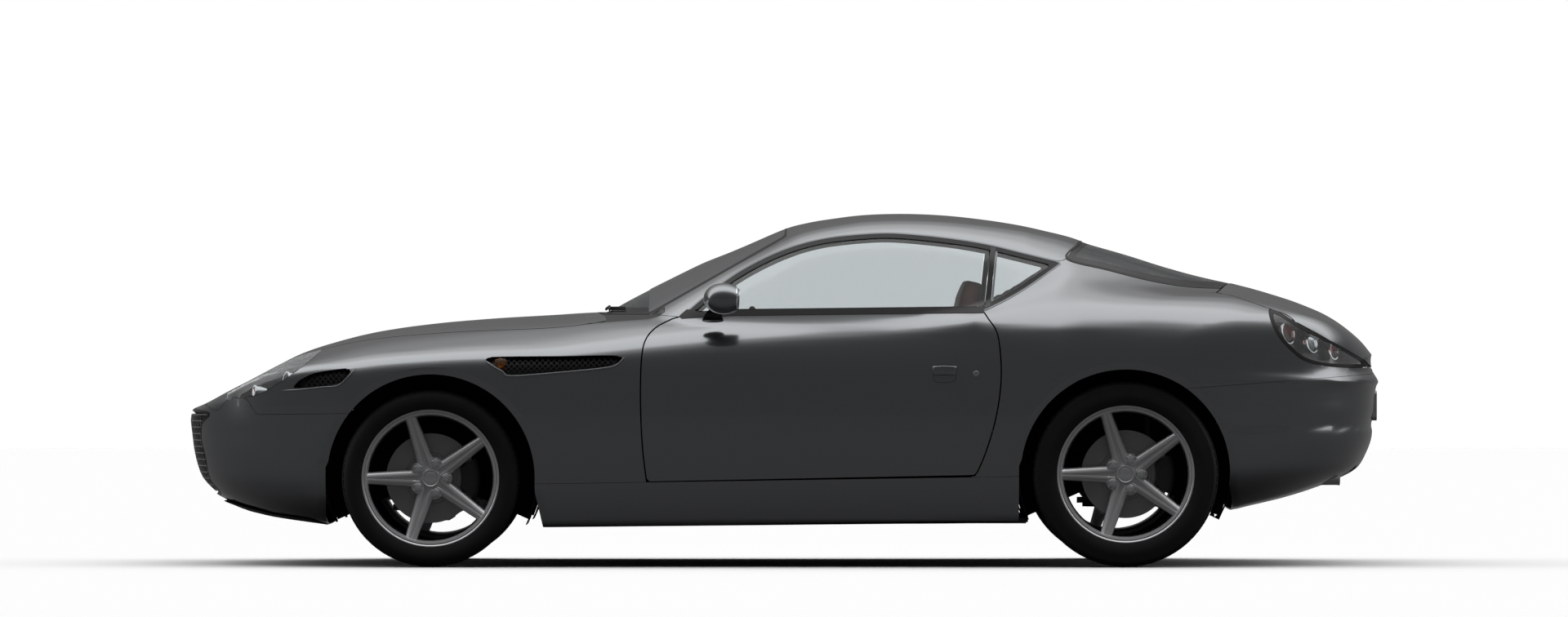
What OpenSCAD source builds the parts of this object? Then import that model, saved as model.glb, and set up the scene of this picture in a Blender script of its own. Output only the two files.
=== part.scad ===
// Two-door fastback coupe, at full size in millimetres.
// The nose points to -X, the left side to -Y and up is +Z; the ground is z = 0.
// The whole outside is one smooth form: form() is below zero inside it. Rays cast
// from the middle of the car meet it, and each panel is the part of that shell
// that falls inside its own outline.

/* [Overall] */
// Distance between the axles
wheelbase = 2556; // [2300:1:2800]
// Height of the roof above the ground
roof_h = 1305; // [1200:1:1400]
// Widest body width, at the rear wheels
body_w = 1860; // [1700:1:2000]
// Position of the front axle behind (-) the middle of the car
front_axle_x = -1300; // [-1350:1:-1250]
// Gap round the doors and lids
panel_gap = 7; // [6:0.5:9]
// Seam between panels that stay put
seam = 0.4; // [0.2:0.1:0.8]

/* [Walls] */
// Thickness of the skin panels
skin_t = 12; // [8:1:16]
// Thickness of a whole door
door_t = 62; // [50:1:75]
// Thickness of the roof with its lining
roof_t = 26; // [15:1:35]
// Thickness of the window glass
glass_t = 5; // [4:0.5:7]
// Thickness of the floor pan
floor_t = 20; // [12:1:30]
// Height of the floor pan's underside
floor_z = 160; // [140:1:190]

/* [Wheels] */
// Free radius of a front tyre
front_tyre_r = 327; // [310:1:335]
// Free radius of a rear tyre
rear_tyre_r = 342; // [325:1:350]
// Width of a front tyre
front_tyre_w = 225; // [205:1:235]
// Width of a rear tyre
rear_tyre_w = 250; // [225:1:255]
// Outer radius of the rims
rim_r = 254; // [240:1:260]
// Distance of a front wheel's centre plane from the middle
front_track_y = 768; // [755:1:775]
// Distance of a rear wheel's centre plane from the middle
rear_track_y = 778; // [765:1:785]
// Radius of the wheel arches
arch_r = 385; // [375:1:400]
// Radius of a brake disc
disc_r = 165; // [150:1:180]
// Radius of the spindle that a wheel turns on
spindle_r = 20; // [16:1:26]
// Radial clearance of a turning fit
run_fit = 0.06; // [0.03:0.01:0.1]

/* [Cabin] */
// Height of the belt line, where the side glass starts
belt_z = 937; // [920:1:950]
// Distance of a seat's centre from the middle
seat_y = 345; // [330:1:360]
// Width of a seat
seat_w = 470; // [420:5:490]
// Diameter of the steering wheel
steer_d = 370; // [350:5:390]

/* [Hidden] */
$fn = 64;
rear_axle_x = front_axle_x + wheelbase;
half_w = body_w / 2;

paint = [0.30, 0.32, 0.34];
black = [0.03, 0.03, 0.03];
glass = [0.55, 0.6, 0.62, 0.4];
metal = [0.75, 0.76, 0.78];
leather = [0.25, 0.12, 0.06];

// ---- the form -------------------------------------------------------------
// A smooth curve through the rows of a table, by cubic pieces with averaged slopes.
function slope(t, c, i) = let (a = max(i - 1, 0), b = min(i + 1, len(t) - 1)) (t[b][c] - t[a][c]) / (t[b][0] - t[a][0]);
function row_at(t, x, i = 0) = i >= len(t) - 2 || x < t[i + 1][0] ? i : row_at(t, x, i + 1);
function curve(t, c, x) =
    let (x1 = min(max(x, t[0][0]), t[len(t) - 1][0]), i = row_at(t, x1), h = t[i + 1][0] - t[i][0], u = (x1 - t[i][0]) / h)
    (2 * u^3 - 3 * u^2 + 1) * t[i][c] + (u^3 - 2 * u^2 + u) * h * slope(t, c, i)
    + (3 * u^2 - 2 * u^3) * t[i + 1][c] + (u^3 - u^2) * h * slope(t, c, i + 1);
// The same curve as close straight steps, which lookup() reads fast.
function steps(t, c, pitch = 40) = [for (x = [t[0][0] : pitch : t[len(t) - 1][0]]) [x, curve(t, c, x)]];

// Deck: x, height at the middle, height at the shoulder
deck = [
    [-2240, 566, 560], [-2160, 597, 585], [-2080, 640, 625], [-1940, 712, 705], [-1800, 784, 780],
    [-1650, 833, 830], [-1500, 868, 862], [-1300, 896, 884], [-1080, 915, 896], [-860, 928, 902],
    [-680, 938, 915], [-300, 936, 926], [300, 938, 928], [650, 940, 934], [900, 960, 965],
    [1100, 985, 998], [1300, 1008, 1012], [1500, 1022, 1009], [1650, 1027, 1000], [1730, 1017, 985],
    [1870, 984, 950], [1945, 959, 925], [2020, 927, 893], [2090, 880, 850], [2160, 810, 785],
    [2200, 740, 720], [2240, 650, 640]];
// Side: x, half width, height of the crease, lean above the crease
side = [
    [-2240, 860, 640, 1.2], [-1900, 868, 700, 1.5], [-1690, 886, 745, 1.6], [-1300, 906, 772, 1.6],
    [-900, 896, 776, 1.35], [-520, 888, 780, 0.95], [0, 884, 786, 0.68], [400, 886, 798, 0.62],
    [620, 892, 812, 0.52], [780, 902, 850, 0.4], [950, 914, 900, 0.45], [1260, 930, 900, 0.5],
    [1600, 918, 880, 0.5], [1900, 900, 840, 0.5], [2240, 880, 800, 0.5]];
// Nose: height, how far forward the face reaches there
nose = [
    [140, -1640], [176, -1890], [205, -2000], [250, -2100], [290, -2150], [324, -2177], [369, -2194],
    [424, -2207], [488, -2215], [530, -2220], [580, -2222], [700, -2222]];
// Tail: height, how far back the tail reaches there
tail = [
    [100, 1400], [200, 1670], [246, 1855], [280, 1966], [331, 2092], [363, 2140], [418, 2172], [464, 2189],
    [498, 2193], [515, 2189], [573, 2200], [620, 2203], [664, 2209], [682, 2221], [722, 2197], [800, 2190], [1000, 2190]];
// Roof: x, height of its highest line
roof_rows = [
    [-1000, 700], [-800, 860], [-674, 930], [-575, 986], [-430, 1060], [-290, 1128], [-145, 1191], [0, 1251],
    [75, 1270], [150, 1283], [290, 1300], [435, 1305], [580, 1300], [720, 1286], [865, 1264], [1010, 1234],
    [1080, 1217], [1155, 1192], [1300, 1150], [1440, 1103], [1585, 1053], [1660, 1027], [1800, 975], [2000, 880],
    [2200, 760]];
// Cabin sides: x, half width at the belt, lean inwards for each mm of height
cabin = [
    [-700, 640, 0.5], [-480, 690, 0.5], [-300, 730, 0.52], [0, 765, 0.54], [300, 777, 0.56], [600, 777, 0.6],
    [800, 772, 0.68], [1000, 745, 0.8], [1200, 700, 0.92], [1400, 630, 1], [1600, 540, 1.05], [1800, 420, 1.05]];

deck_mid = steps(deck, 1);
deck_out = steps(deck, 2);
side_w = steps(side, 1);
side_crease = steps(side, 2);
side_lean = steps(side, 3);
nose_x = steps(nose, 1, 12);
tail_x = steps(tail, 1, 12);
roof_z = steps(roof_rows, 1, 30);
cabin_w = steps(cabin, 1);
cabin_lean = steps(cabin, 2);

function smax(a, b, k) = let (h = max(k - abs(a - b), 0) / k) max(a, b) + h * h * k / 4;
function smin(a, b, k) = -smax(-a, -b, k);
function ease(a, b, x) = let (t = min(max((x - a) / (b - a), 0), 1)) t * t * (3 - 2 * t);

// Lower body: below zero inside it, and about the distance to its surface in mm.
function lower_form(x, y, z) =
    let (
        w = lookup(x, side_w) * half_w / 930, lean = lookup(x, side_lean),
        mid = lookup(x, deck_mid), q = min(y / (0.74 * w), 1.25),
        valley = 14 * exp(-pow((q - 0.58) / 0.2, 2)) * ease(-2100, -1700, x) * (1 - ease(-800, -650, x)),
        top = (z - (mid + (lookup(x, deck_out) - mid) * q * q - valley)) * 0.96,
        flank = y - (w - 0.00036 * pow(z - 560, 2)),
        upper = (y - (w + (lookup(x, side_crease) - z) * lean)) / sqrt(1 + lean * lean),
        sides = smax(flank, upper, 50),
        shoulder = lookup(x, [[-2240, 160], [-1700, 190], [-700, 150], [700, 60], [1000, 230], [2240, 200]]),
        front = (lookup(z, nose_x) + 600 * pow(y / 885, 3.2) - x) / sqrt(1 + pow(2.17 * pow(y / 885, 2.2), 2)),
        back = (x - lookup(z, tail_x) + 600 * pow(y / 900, 4)) / sqrt(1 + pow(2.67 * pow(y / 900, 3), 2)),
        under = lookup(x, [[-1650, 146], [-850, 146], [1240, 166], [1660, 190]]) - z,
        crown = smax(top, sides, shoulder),
        nosed = smax(crown, front, lookup(z, [[300, 90], [500, 40], [620, 30]])))
    smax(smax(nosed, back, 60), under, 20);

// Cabin: the glasshouse and the roof with its two shallow bubbles.
function cabin_form(x, y, z) =
    let (
        sweep = lookup(x, [[-700, 185], [0, 60], [300, 0]]) * pow(y / 640, 2)
            - lookup(x, [[900, 0], [1100, 60]]) * pow(y / 560, 2),
        bubble = 24 * lookup(x, [[-300, 0], [150, 1], [1300, 1], [1700, 0.3]]) * pow(1 - pow(min(y / 280, 1), 2), 1.5),
        crown = lookup(x, [[-700, 20], [0, 50], [900, 60], [1200, 90], [1700, 60]]) * pow(min(max((y - 250) / 350, 0), 2), 2),
        s = lookup(x, [[-700, 0.5], [-50, 0.45], [150, 0.1], [1000, 0.2], [1150, 0.33]]),
        top = (z - (lookup(x - sweep, roof_z) * roof_h / 1305 - bubble - crown)) / sqrt(1 + s * s),
        lean = lookup(x, cabin_lean),
        wall = (y - (lookup(x, cabin_w) - lean * (max(z, belt_z - 57) - belt_z))) / sqrt(1 + lean * lean))
    max(smax(top, wall, lookup(x, [[-700, 60], [-100, 80], [300, 90], [1100, 90], [1300, 70]])), belt_z - 137 - z);

function form(x, y, z) =
    smin(lower_form(x, y, z), cabin_form(x, y, z), lookup(x, [[-700, 14], [500, 14], [800, 50], [1100, 150], [1700, 90]]));

// Rays leave a line at mid height and fan out round the nose and the tail.
ray_x = 1500;
ray_z = 620;
cap_len = 1270;
ray_pitch = 104;
ray_rows = 22;
nose_pole = -ray_x - cap_len;
tail_pole = ray_x + cap_len;
function ray_from(s) = [min(max(s, -ray_x), ray_x), 0, ray_z];
function ray_dir(s, t) =
    let (a = s < -ray_x ? (-ray_x - s) / cap_len * 90 : s > ray_x ? (ray_x - s) / cap_len * 90 : 0)
    [-sin(a), -cos(a) * cos(t), cos(a) * sin(t)];
// Halves the stretch of a ray that holds the crossing of the level, until it is short.
function hit(o, d, level, lo, hi, n) =
    n == 0 ? o + d * (lo + hi) / 2 :
    let (m = (lo + hi) / 2, p = o + d * m)
    form(p[0], abs(p[1]), p[2]) < level ? hit(o, d, level, m, hi, n - 1) : hit(o, d, level, lo, m, n - 1);
function skin_point(s, t, level) = hit(ray_from(s), ray_dir(s, t), level, 60, 1260, 16);

// A closed shell, thick mm deep from a level of the form inwards, for rays s0 to s1 along
// the car. Angle t is 0 at the left side, 90 straight up and 180 at the right side.
module shell(thick, s0, s1, t0, t1, level = 0) {
    ns = ceil((s1 - s0) / ray_pitch);
    nt = 2 * ceil((t1 - t0) / 360 * ray_rows);
    ring = t1 - t0 == 360;
    m = nt + 1;
    inner = (ns + 1) * m;
    pts = [for (l = [level, level - thick]) for (i = [0 : ns]) for (j = [0 : nt])
        skin_point(s0 + (s1 - s0) * i / ns, t0 + (t1 - t0) * j / nt, l)];
    // All the rays of a pole are one point, and a ring's last ray is its first.
    function at(i, j) = i * m + (i == 0 && s0 == nose_pole || i == ns && s1 == tail_pole || ring && j == nt ? 0 : j);
    function quad(a, b, c, d) = [[a, b, c], [a, c, d]];
    faces = [
        for (i = [0 : ns - 1]) for (j = [0 : nt - 1])
            let (a = at(i, j), b = at(i, j + 1), c = at(i + 1, j + 1), d = at(i + 1, j)) each [
                each quad(a, b, c, d), each quad(inner + a, inner + d, inner + c, inner + b)],
        if (!ring) for (i = [0 : ns - 1])
            let (a = at(i, 0), b = at(i + 1, 0), c = at(i, nt), d = at(i + 1, nt)) each [
                each quad(a, b, inner + b, inner + a), each quad(c, inner + c, inner + d, d)],
        for (j = [0 : nt - 1])
            let (a = at(0, j), b = at(0, j + 1), c = at(ns, j), d = at(ns, j + 1)) each [
                each quad(a, inner + a, inner + b, b), each quad(c, d, inner + d, inner + c)]];
    polyhedron(pts, [for (f = faces) if (f[0] != f[1] && f[1] != f[2] && f[2] != f[0]) f], convexity = 10);
}

// ---- outlines, as [x, z] seen from the left ---------------------------------
wheel_x = [front_axle_x, rear_axle_x];
wheel_z = [front_tyre_r, rear_tyre_r];

// Door: shut line from the windscreen pillar down, along the sill and up the rear edge
door_line = [
    [-382, 920], [-413, 911], [-469, 881], [-506, 838], [-521, 770], [-525, 620], [-518, 446], [-503, 316],
    [703, 345], [738, 421], [775, 546], [794, 670], [794, 770], [781, 862], [750, 900], [732, 941], [-180, 931]];
// Side windows: the arch of the roof, the tip at the rear and the lower edge back to the door
window_line = [
    [-382, 920], [-282, 1006], [-158, 1094], [-8, 1168], [141, 1211], [315, 1230], [439, 1230], [625, 1211],
    [757, 1189], [874, 1161], [1012, 1127], [1030, 1122], [970, 1081], [901, 1033], [826, 988], [766, 958],
    [732, 941], [-180, 931]];
post_low = [732, 941];
post_high = [757, 1189];
post_w = 26;
screen_foot = [-488, 924];
screen_head = [16, 1216];
roof_end_low = [1038, 1131];
roof_end_high = [1104, 1215];
rear_screen_line = [roof_end_high, roof_end_low, [1195, 1090], [1370, 1047], [1522, 1029], [1640, 1029]];
bumper_line = [[-2400, 700], [-2147, 700], [-2147, 590], [-2097, 574], [-2057, 610], [-1991, 617], [-1950, 566], [-1910, 560], [-1560, 563]];
lamp_line = [[-2057, 613], [-1991, 622], [-1931, 638], [-1892, 660], [-1821, 704], [-1751, 758], [-1690, 816]];
tail_seam = [[1450, 655], [2184, 709], [2400, 724]];
tail_lamp_line = [
    [1792, 948], [1793, 906], [1822, 848], [1868, 797], [1925, 757], [2023, 737], [2163, 737],
    [2135, 766], [2092, 797], [2045, 826], [1995, 850], [1940, 877], [1880, 908], [1835, 934]];
sill_top = [[-899, 304], [862, 334]];

// ---- outlines, as [x, y] seen from above, for the left half -------------------
bonnet_half = [
    [-2140, 0], [-2136, 200], [-2118, 360], [-2070, 455], [-1950, 510], [-1820, 560], [-1690, 590], [-1300, 635],
    [-760, 655], [-650, 630], [-680, 330], [-700, 0]];
lid_half = [[1690, 0], [1655, 300], [1597, 590], [1700, 678], [1795, 715], [1900, 745], [2000, 850], [2400, 900], [2400, 0]];
// The lid's lower edge behind its widest point, as [x, z]
lid_edge = [[1560, 940], [1795, 915], [1893, 901], [2152, 761], [2185, 733], [2400, 733]];

// ---- cutting shapes -----------------------------------------------------------
// The boolean work inside is done on the facets, so a panel comes out as one mesh.
module one_mesh() resize([0, 0, 0]) children();
// A prism through the left side of the car from an outline of x and z.
module side_cut(grow = 0, inner_y = 0) translate([0, -inner_y, 0]) rotate([90, 0, 0]) linear_extrude(1200) offset(delta = grow) children();
// The same prism through both sides.
module full_cut(grow = 0) translate([0, 1200, 0]) rotate([90, 0, 0]) linear_extrude(2400) offset(delta = grow) children();
// A prism through the top of the car from the left half of an outline of x and y.
module top_cut(half, grow = 0, low = 560) translate([0, 0, low]) linear_extrude(1000) offset(delta = grow)
    polygon([each [for (p = half) [p[0], -p[1]]], each [for (i = [len(half) - 1 : -1 : 0]) half[i]]]);
module both_sides() {
    children();
    mirror([0, 1, 0]) children();
}

module arch(i, grow = 0) translate([wheel_x[i], wheel_z[i]]) {
    circle(arch_r + grow, $fn = 40);
    // Below the axle the front leg is upright and the rear leg leans outwards.
    polygon([[-arch_r - 7 - grow, 60], [-arch_r - 7 - grow, -400], [arch_r + 50 + grow, -400], [arch_r - 10 + grow, 30]]);
}
module arches(grow = 0) for (i = [0, 1]) arch(i, grow);
module door_outline() polygon(door_line);
module window_outline() polygon(window_line);
module post_outline(grow = 0) polygon([
    post_low + [2 - grow, -8], post_high + [2 - grow, 14], post_high + [post_w + grow, 14], post_low + [post_w + grow, -8]]);
module screen_outline() polygon([screen_foot + [-180, 10], screen_foot + [-5, 10], screen_head, screen_head + [0, 200], screen_foot + [-180, 476]]);
module rear_screen_outline() polygon(concat([[1112, 1400]], rear_screen_line, [[1740, 1020], [1740, 1400]]));
module roof_outline() polygon([
    screen_foot + [6, 2], [-388, 924], [-288, 1010], [-164, 1098], [-12, 1174], [140, 1218], [315, 1237], [440, 1237],
    [627, 1218], [759, 1196], [876, 1168], [1014, 1134], roof_end_low, roof_end_high, [1112, 1400], [-560, 1400], [-560, 926]]);
module bumper_outline() polygon(concat(bumper_line, [[-1560, 0], [-2400, 0]]));
module sill_outline() polygon([sill_top[0] + [-60, 0], sill_top[1] + [60, 0], [1100, 80], [-1100, 60]]);
module lamp_outline() polygon(concat(lamp_line, [[-1690, 1100], [-2057, 1100]]));
module tail_outline() polygon(concat(tail_seam, [[2400, 0], [1450, 0]]));
// Grille mouth, as [y, z] seen from the front
mouth = [[-470, 566], [-425, 520], [-412, 466], [-425, 400], [-395, 320], [-360, 262]];
module mouth_cut(grow = 0) translate([-2400, 0, 0]) rotate([90, 0, 90]) linear_extrude(420) offset(delta = grow)
    polygon(concat(mouth, [for (i = [len(mouth) - 1 : -1 : 0]) [-mouth[i][0], mouth[i][1]]]));

// ---- skin panels ----------------------------------------------------------------
module front_bumper() color(paint) one_mesh() difference() {
    intersection() {
        shell(skin_t, nose_pole, -1440, -90, 270);
        full_cut() difference() { bumper_outline(); offset(delta = seam) arches(); }
    }
    mouth_cut();
    translate([-1840, -900, 0]) cube([300, 1800, 176]);
    translate([-2200, front_tow[0], front_tow[1]]) rotate([0, 90, 0]) cylinder(r = 2 * tow_r, h = 150, $fn = 24);
}

module grille() color(black) one_mesh() intersection() {
    shell(8, nose_pole, -1440, -90, 270, -skin_t - seam);
    mouth_cut(14);
}

lip_t = 22;
module front_splitter() color(black) one_mesh() intersection() {
    shell(lip_t, nose_pole, -1440, -90, 270, lip_t + seam);
    full_cut() polygon([[-2140, 200], [-2085, 236], [-1900, 190], [-1760, 174], [-1700, 150], [-1720, 120], [-2000, 150]]);
    translate([-2200, -760, 100]) cube([700, 1520, 140]);
}

module front_wing_left() color(paint) one_mesh() difference() {
    intersection() {
        shell(skin_t, -2200, -360, -30, 84);
        side_cut() difference() {
            polygon([[-2200, 540], [-2200, 1000], [screen_foot[0] + 70, 1000], [-350, 900], [-350, 304], [-1000, 304], [-1400, 540]]);
            offset(delta = seam) { arches(); bumper_outline(); sill_outline(); roof_outline(); screen_outline(); }
            offset(delta = panel_gap) door_outline();
            polygon([screen_foot + [-5, 0], screen_foot + [200, 0], screen_foot + [200, 400], screen_foot + [-5, 400]]);
        }
    }
    top_cut(bonnet_half, panel_gap);
    lamp_zone(seam);
    cowl_zone(seam);
}
module front_wing_right() mirror([0, 1, 0]) front_wing_left();

// The lens lies between the bonnet and its own lower edge.
module lamp_zone(grow) difference() {
    side_cut(grow) lamp_outline();
    top_cut(bonnet_half, panel_gap - grow);
}
module headlamps() color(glass) both_sides() one_mesh() intersection() {
    shell(skin_t, -2400, -1600, -5, 84);
    lamp_zone(0);
}

// Strip between the bonnet and the windscreen
module cowl_zone(grow = 0) difference() {
    translate([-720, -640 - grow, 800]) cube([300, 1280 + 2 * grow, 200]);
    top_cut(bonnet_half, 12 - grow);
}
module cowl() color(black) one_mesh() intersection() {
    shell(skin_t, -720, -400, 12, 168);
    cowl_zone();
    full_cut() difference() {
        polygon([[-730, 700], [-450, 700], [-450, 960], [-730, 960]]);
        offset(delta = seam) { screen_outline(); roof_outline(); }
        offset(delta = panel_gap) door_outline();
    }
}

module bonnet() color(paint) {
    one_mesh() {
        difference() {
            intersection() {
                shell(18, -2700, -560, -5, 185);
                top_cut(bonnet_half);
            }
            pin_space(bonnet_axis);
        }
        lugs(bonnet_axis, [-12, -12, 24, 28]);
    }
}
bonnet_axis = [-760, 906];
lid_axis = [1750, 1002];
// The lugs of a lid stand on both sides of a strap, strap_w wide, that holds the pin.
strap_y = 190;
strap_w = 20;
lug_w = 14;
lug_clear = 3;
pin_r = 6;
pin_fit = 0.4;
lid_front_gap = 14;
module pin_space(axis) both_sides() translate([axis[0], -strap_y - strap_w / 2 - lug_clear - lug_w - 1, axis[1]])
    rotate([-90, 0, 0]) cylinder(r = pin_r + pin_fit, h = strap_w + 2 * lug_clear + 2 * lug_w + 2, $fn = 32);
module lugs(axis, size) both_sides() for (e = [-1, 1]) difference() {
    translate([axis[0] + size[0], -strap_y + e * (strap_w / 2 + lug_clear + lug_w / 2) - lug_w / 2, axis[1] + size[1]])
        cube([size[2], lug_w, size[3]]);
    pin_space(axis);
}
// A strap from a foot plate at z0 up to the pin it carries.
module hinge_strap(axis, foot_x, z0) both_sides() {
    translate([axis[0] - 5, -strap_y - strap_w / 2, z0]) cube([10, strap_w, axis[1] - z0]);
    translate([min(foot_x, axis[0] - 5), -strap_y - strap_w / 2, z0]) cube([abs(foot_x - axis[0]) + 5, strap_w, 12]);
    translate([axis[0], -strap_y - strap_w / 2 - lug_clear - lug_w, axis[1]])
        rotate([-90, 0, 0]) cylinder(r = pin_r, h = strap_w + 2 * lug_clear + 2 * lug_w);
}
module lid_zone(grow = 0) intersection() {
    top_cut(lid_half, grow);
    full_cut(grow) polygon(concat(lid_edge, [[2400, 1500], [1560, 1500]]));
}
module boot_lid() color(paint) one_mesh() {
    difference() {
        intersection() {
            shell(18, 1540, tail_pole, -3, 183);
            lid_zone();
            translate([lid_front_gap - panel_gap, 0, 0]) lid_zone();
        }
        pin_space(lid_axis);
    }
    lugs(lid_axis, [-12, -12, 24, 24]);
}

module rear_wing_left() color(paint) one_mesh() difference() {
    intersection() {
        shell(skin_t, 640, tail_pole - 200, -28, 90);
        side_cut() difference() {
            polygon([[700, 320], [700, 1000], [1036, 1128], [1112, 1300], [2300, 1100], [2300, 600], [1000, 320]]);
            offset(delta = seam) {
                arches(); tail_outline(); sill_outline(); roof_outline(); window_outline(); rear_screen_outline();
                polygon(tail_lamp_line);
            }
            post_outline(seam);
            offset(delta = panel_gap) door_outline();
        }
    }
    lid_zone(panel_gap);
}
module rear_wing_right() mirror([0, 1, 0]) rear_wing_left();

module tail_lamps() color([0.3, 0.02, 0.02]) both_sides() one_mesh() difference() {
    intersection() {
        shell(skin_t, 1650, tail_pole - 100, 0, 60);
        side_cut() difference() {
            polygon(tail_lamp_line);
            offset(delta = seam) tail_outline();
        }
    }
    lid_zone(panel_gap);
}

module rear_bumper() color(paint) one_mesh() difference() {
    intersection() {
        shell(skin_t, 1500, tail_pole, -90, 270);
        full_cut() difference() { tail_outline(); offset(delta = seam) arches(); }
    }
    lid_zone(panel_gap);
    translate([2050, rear_tow[0], rear_tow[1]]) rotate([0, 90, 0]) cylinder(r = 2 * tow_r, h = 150, $fn = 24);
    // Ways out for the tail pipes
    both_sides() for (e = [-1, 1]) translate([1950, -pipe_y + 42 * e, pipe_z]) rotate([0, 90, 0]) cylinder(r = pipe_r + 4, h = 200, $fn = 24);
    // Open underneath behind the wheels
    translate([1400, -700, 0]) cube([560, 1400, 240]);
}

module sills() color(paint) both_sides() one_mesh() difference() {
    intersection() {
        shell(150, -1150, 1100, -36, -6);
        side_cut(0, sill_in) difference() { sill_outline(); offset(delta = seam) arches(); }
    }
    // Jacking pads are flat.
    for (x = jack_x) translate([x - 40, -900, 0]) cube([80, 120, jack_z]);
}
sill_in = 770;
jack_x = [-720, 640];
jack_z = 172;

module roof() color(paint) one_mesh() intersection() {
    shell(roof_t, -640, 1240, 10, 170);
    full_cut() difference() {
        union() {
            difference() {
                roof_outline();
                offset(delta = seam) { screen_outline(); rear_screen_outline(); }
            }
            post_outline();
        }
        offset(delta = panel_gap) door_outline();
    }
}

module windscreen() color(glass) one_mesh() intersection() {
    shell(glass_t, -740, 120, 15, 165);
    full_cut() screen_outline();
}
module rear_screen() color(glass) one_mesh() difference() {
    intersection() {
        shell(glass_t, 960, 1760, 20, 160);
        full_cut() rear_screen_outline();
    }
    lid_zone(panel_gap);
}
module quarter_windows() color(glass) both_sides() one_mesh() intersection() {
    shell(glass_t, 640, 1150, 12, 60, -1);
    side_cut() difference() {
        window_outline();
        translate([-600, 0]) square([post_low[0] + 600 + 13, 1300]);
        post_outline(seam);
        offset(delta = seam) roof_outline();
        polygon([[0, 900], post_low + [10, -40], post_high + [10, 30], [0, 1300]]);
    }
}

// ---- doors ------------------------------------------------------------------------
door_axis = [-450, -876];
door_pin_z = 560;
module door_left() color(paint) one_mesh() difference() {
    intersection() {
        shell(door_t, -600, 880, -30, 40);
        side_cut() door_outline();
    }
    // The hinge pin stands in a bore, and its strap in a pocket open to the front.
    translate([door_axis[0], door_axis[1], door_pin_z - 60]) cylinder(r = pin_r + pin_fit, h = 120, $fn = 32);
    translate([-600, door_axis[1] - pin_r - 1, door_pin_z - 26]) cube([door_axis[0] + 610, 200, 52]);
}
module door_right() mirror([0, 1, 0]) door_left();

module door_glass_left() color(glass) one_mesh() intersection() {
    shell(glass_t, -460, 840, 12, 60, -3);
    side_cut() difference() {
        window_outline();
        offset(delta = seam) door_outline();
        polygon([post_low + [-5, -20], post_high + [-5, 20], [1200, 1300], [1200, 900]]);
    }
}
module door_glass_right() mirror([0, 1, 0]) door_glass_left();

mirror_at = [-215, -884, 988];
module mirror_left() color(paint) one_mesh() {
    translate(mirror_at) scale([81, 74, 57]) sphere(1, $fn = 24);
    difference() {
        hull() {
            translate([-300, -830, 908]) cube([64, 130, 14]);
            translate([-250, -850, 944]) cube([50, 30, 12]);
        }
        intersection() {
            shell(100, -600, 880, -30, 40, play);
            translate([-450, -900, 800]) cube([400, 300, 200]);
        }
    }
}
module mirror_right() mirror([0, 1, 0]) mirror_left();

// ---- wheels -----------------------------------------------------------------------
// A wheel is turned about Z with its outer face up, then laid on its side.
hub_r = 72;
rim_seat_r = 240;
rim_in = 12;
module on_axle(i, side) translate([wheel_x[i], side * (i == 0 ? front_track_y : rear_track_y), wheel_z[i]])
    rotate([side < 0 ? 90 : -90, 0, 0]) children();

module rim(i, side) {
    w = (i == 0 ? front_tyre_w : rear_tyre_w) / 2;
    color(metal) on_axle(i, side) difference() {
        union() {
            // Barrel with its two lips
            rotate_extrude($fn = 96) polygon([
                [rim_seat_r - rim_in, -w + 16], [rim_r, -w + 16], [rim_r, -w + 24], [rim_seat_r, -w + 24],
                [rim_seat_r, w - 24], [rim_r, w - 24], [rim_r, w - 16], [rim_seat_r - rim_in, w - 16]]);
            // Five spokes
            for (k = [0 : 4]) rotate([0, 0, 72 * k]) translate([0, 0, w - 60]) linear_extrude(30)
                polygon([[40, -34], [236, -21], [236, 21], [40, 34]]);
            translate([0, 0, w - 66]) cylinder(r = hub_r, h = 42);
            // Hub, bell and brake disc
            translate([0, 0, disc_back]) cylinder(r = 80, h = w - 54 - disc_back);
            translate([0, 0, disc_back]) cylinder(r = disc_r, h = disc_t);
        }
        translate([0, 0, disc_back - 1]) cylinder(r = spindle_r + run_fit, h = w - 40 - disc_back);
    }
}
disc_back = -30;
disc_t = 26;

module tyre(i, side) {
    w = (i == 0 ? front_tyre_w : rear_tyre_w) / 2;
    r = wheel_z[i];
    half = [[rim_seat_r + seam, w - 24 - seam], [rim_r + seam, w - 24 - seam], [262, w - 8], [285, w],
        [r - 28, w - 2], [r - 8, w - 18], [r, w - 42]];
    color(black) on_axle(i, side) rotate_extrude($fn = 96)
        polygon(concat(half, [for (k = [len(half) - 1 : -1 : 0]) [half[k][0], -half[k][1]]]));
}
module rim_front_left() rim(0, -1);
module rim_front_right() rim(0, 1);
module rim_rear_left() rim(1, -1);
module rim_rear_right() rim(1, 1);
module tyre_front_left() tyre(0, -1);
module tyre_front_right() tyre(0, 1);
module tyre_rear_left() tyre(1, -1);
module tyre_rear_right() tyre(1, 1);

// ---- knuckles and suspension --------------------------------------------------------
king_y = 700;
king_r = 22;
king_low = 226;
king_high = 430;
play = 0.3;
// Spindle from the upright outwards to the inside of the hub
module spindle(i, side, from_y) {
    track = i == 0 ? front_track_y : rear_track_y;
    translate([wheel_x[i], side * from_y, wheel_z[i]]) rotate([side < 0 ? 90 : -90, 0, 0]) {
        cylinder(r = spindle_r, h = track + 36 - from_y);
        cylinder(r = spindle_r + 14, h = track + disc_back - play - from_y);
    }
}
module knuckle(side) color(metal) {
    translate([front_axle_x, side * king_y, king_low]) cylinder(r = king_r, h = king_high - king_low);
    spindle(0, side, king_y);
    // Steering arm behind the axle
    translate([front_axle_x, side * king_y - 9, king_low + 20]) cube([120, 18, 20]);
}
module knuckle_left() knuckle(-1);
module knuckle_right() knuckle(1);

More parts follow.
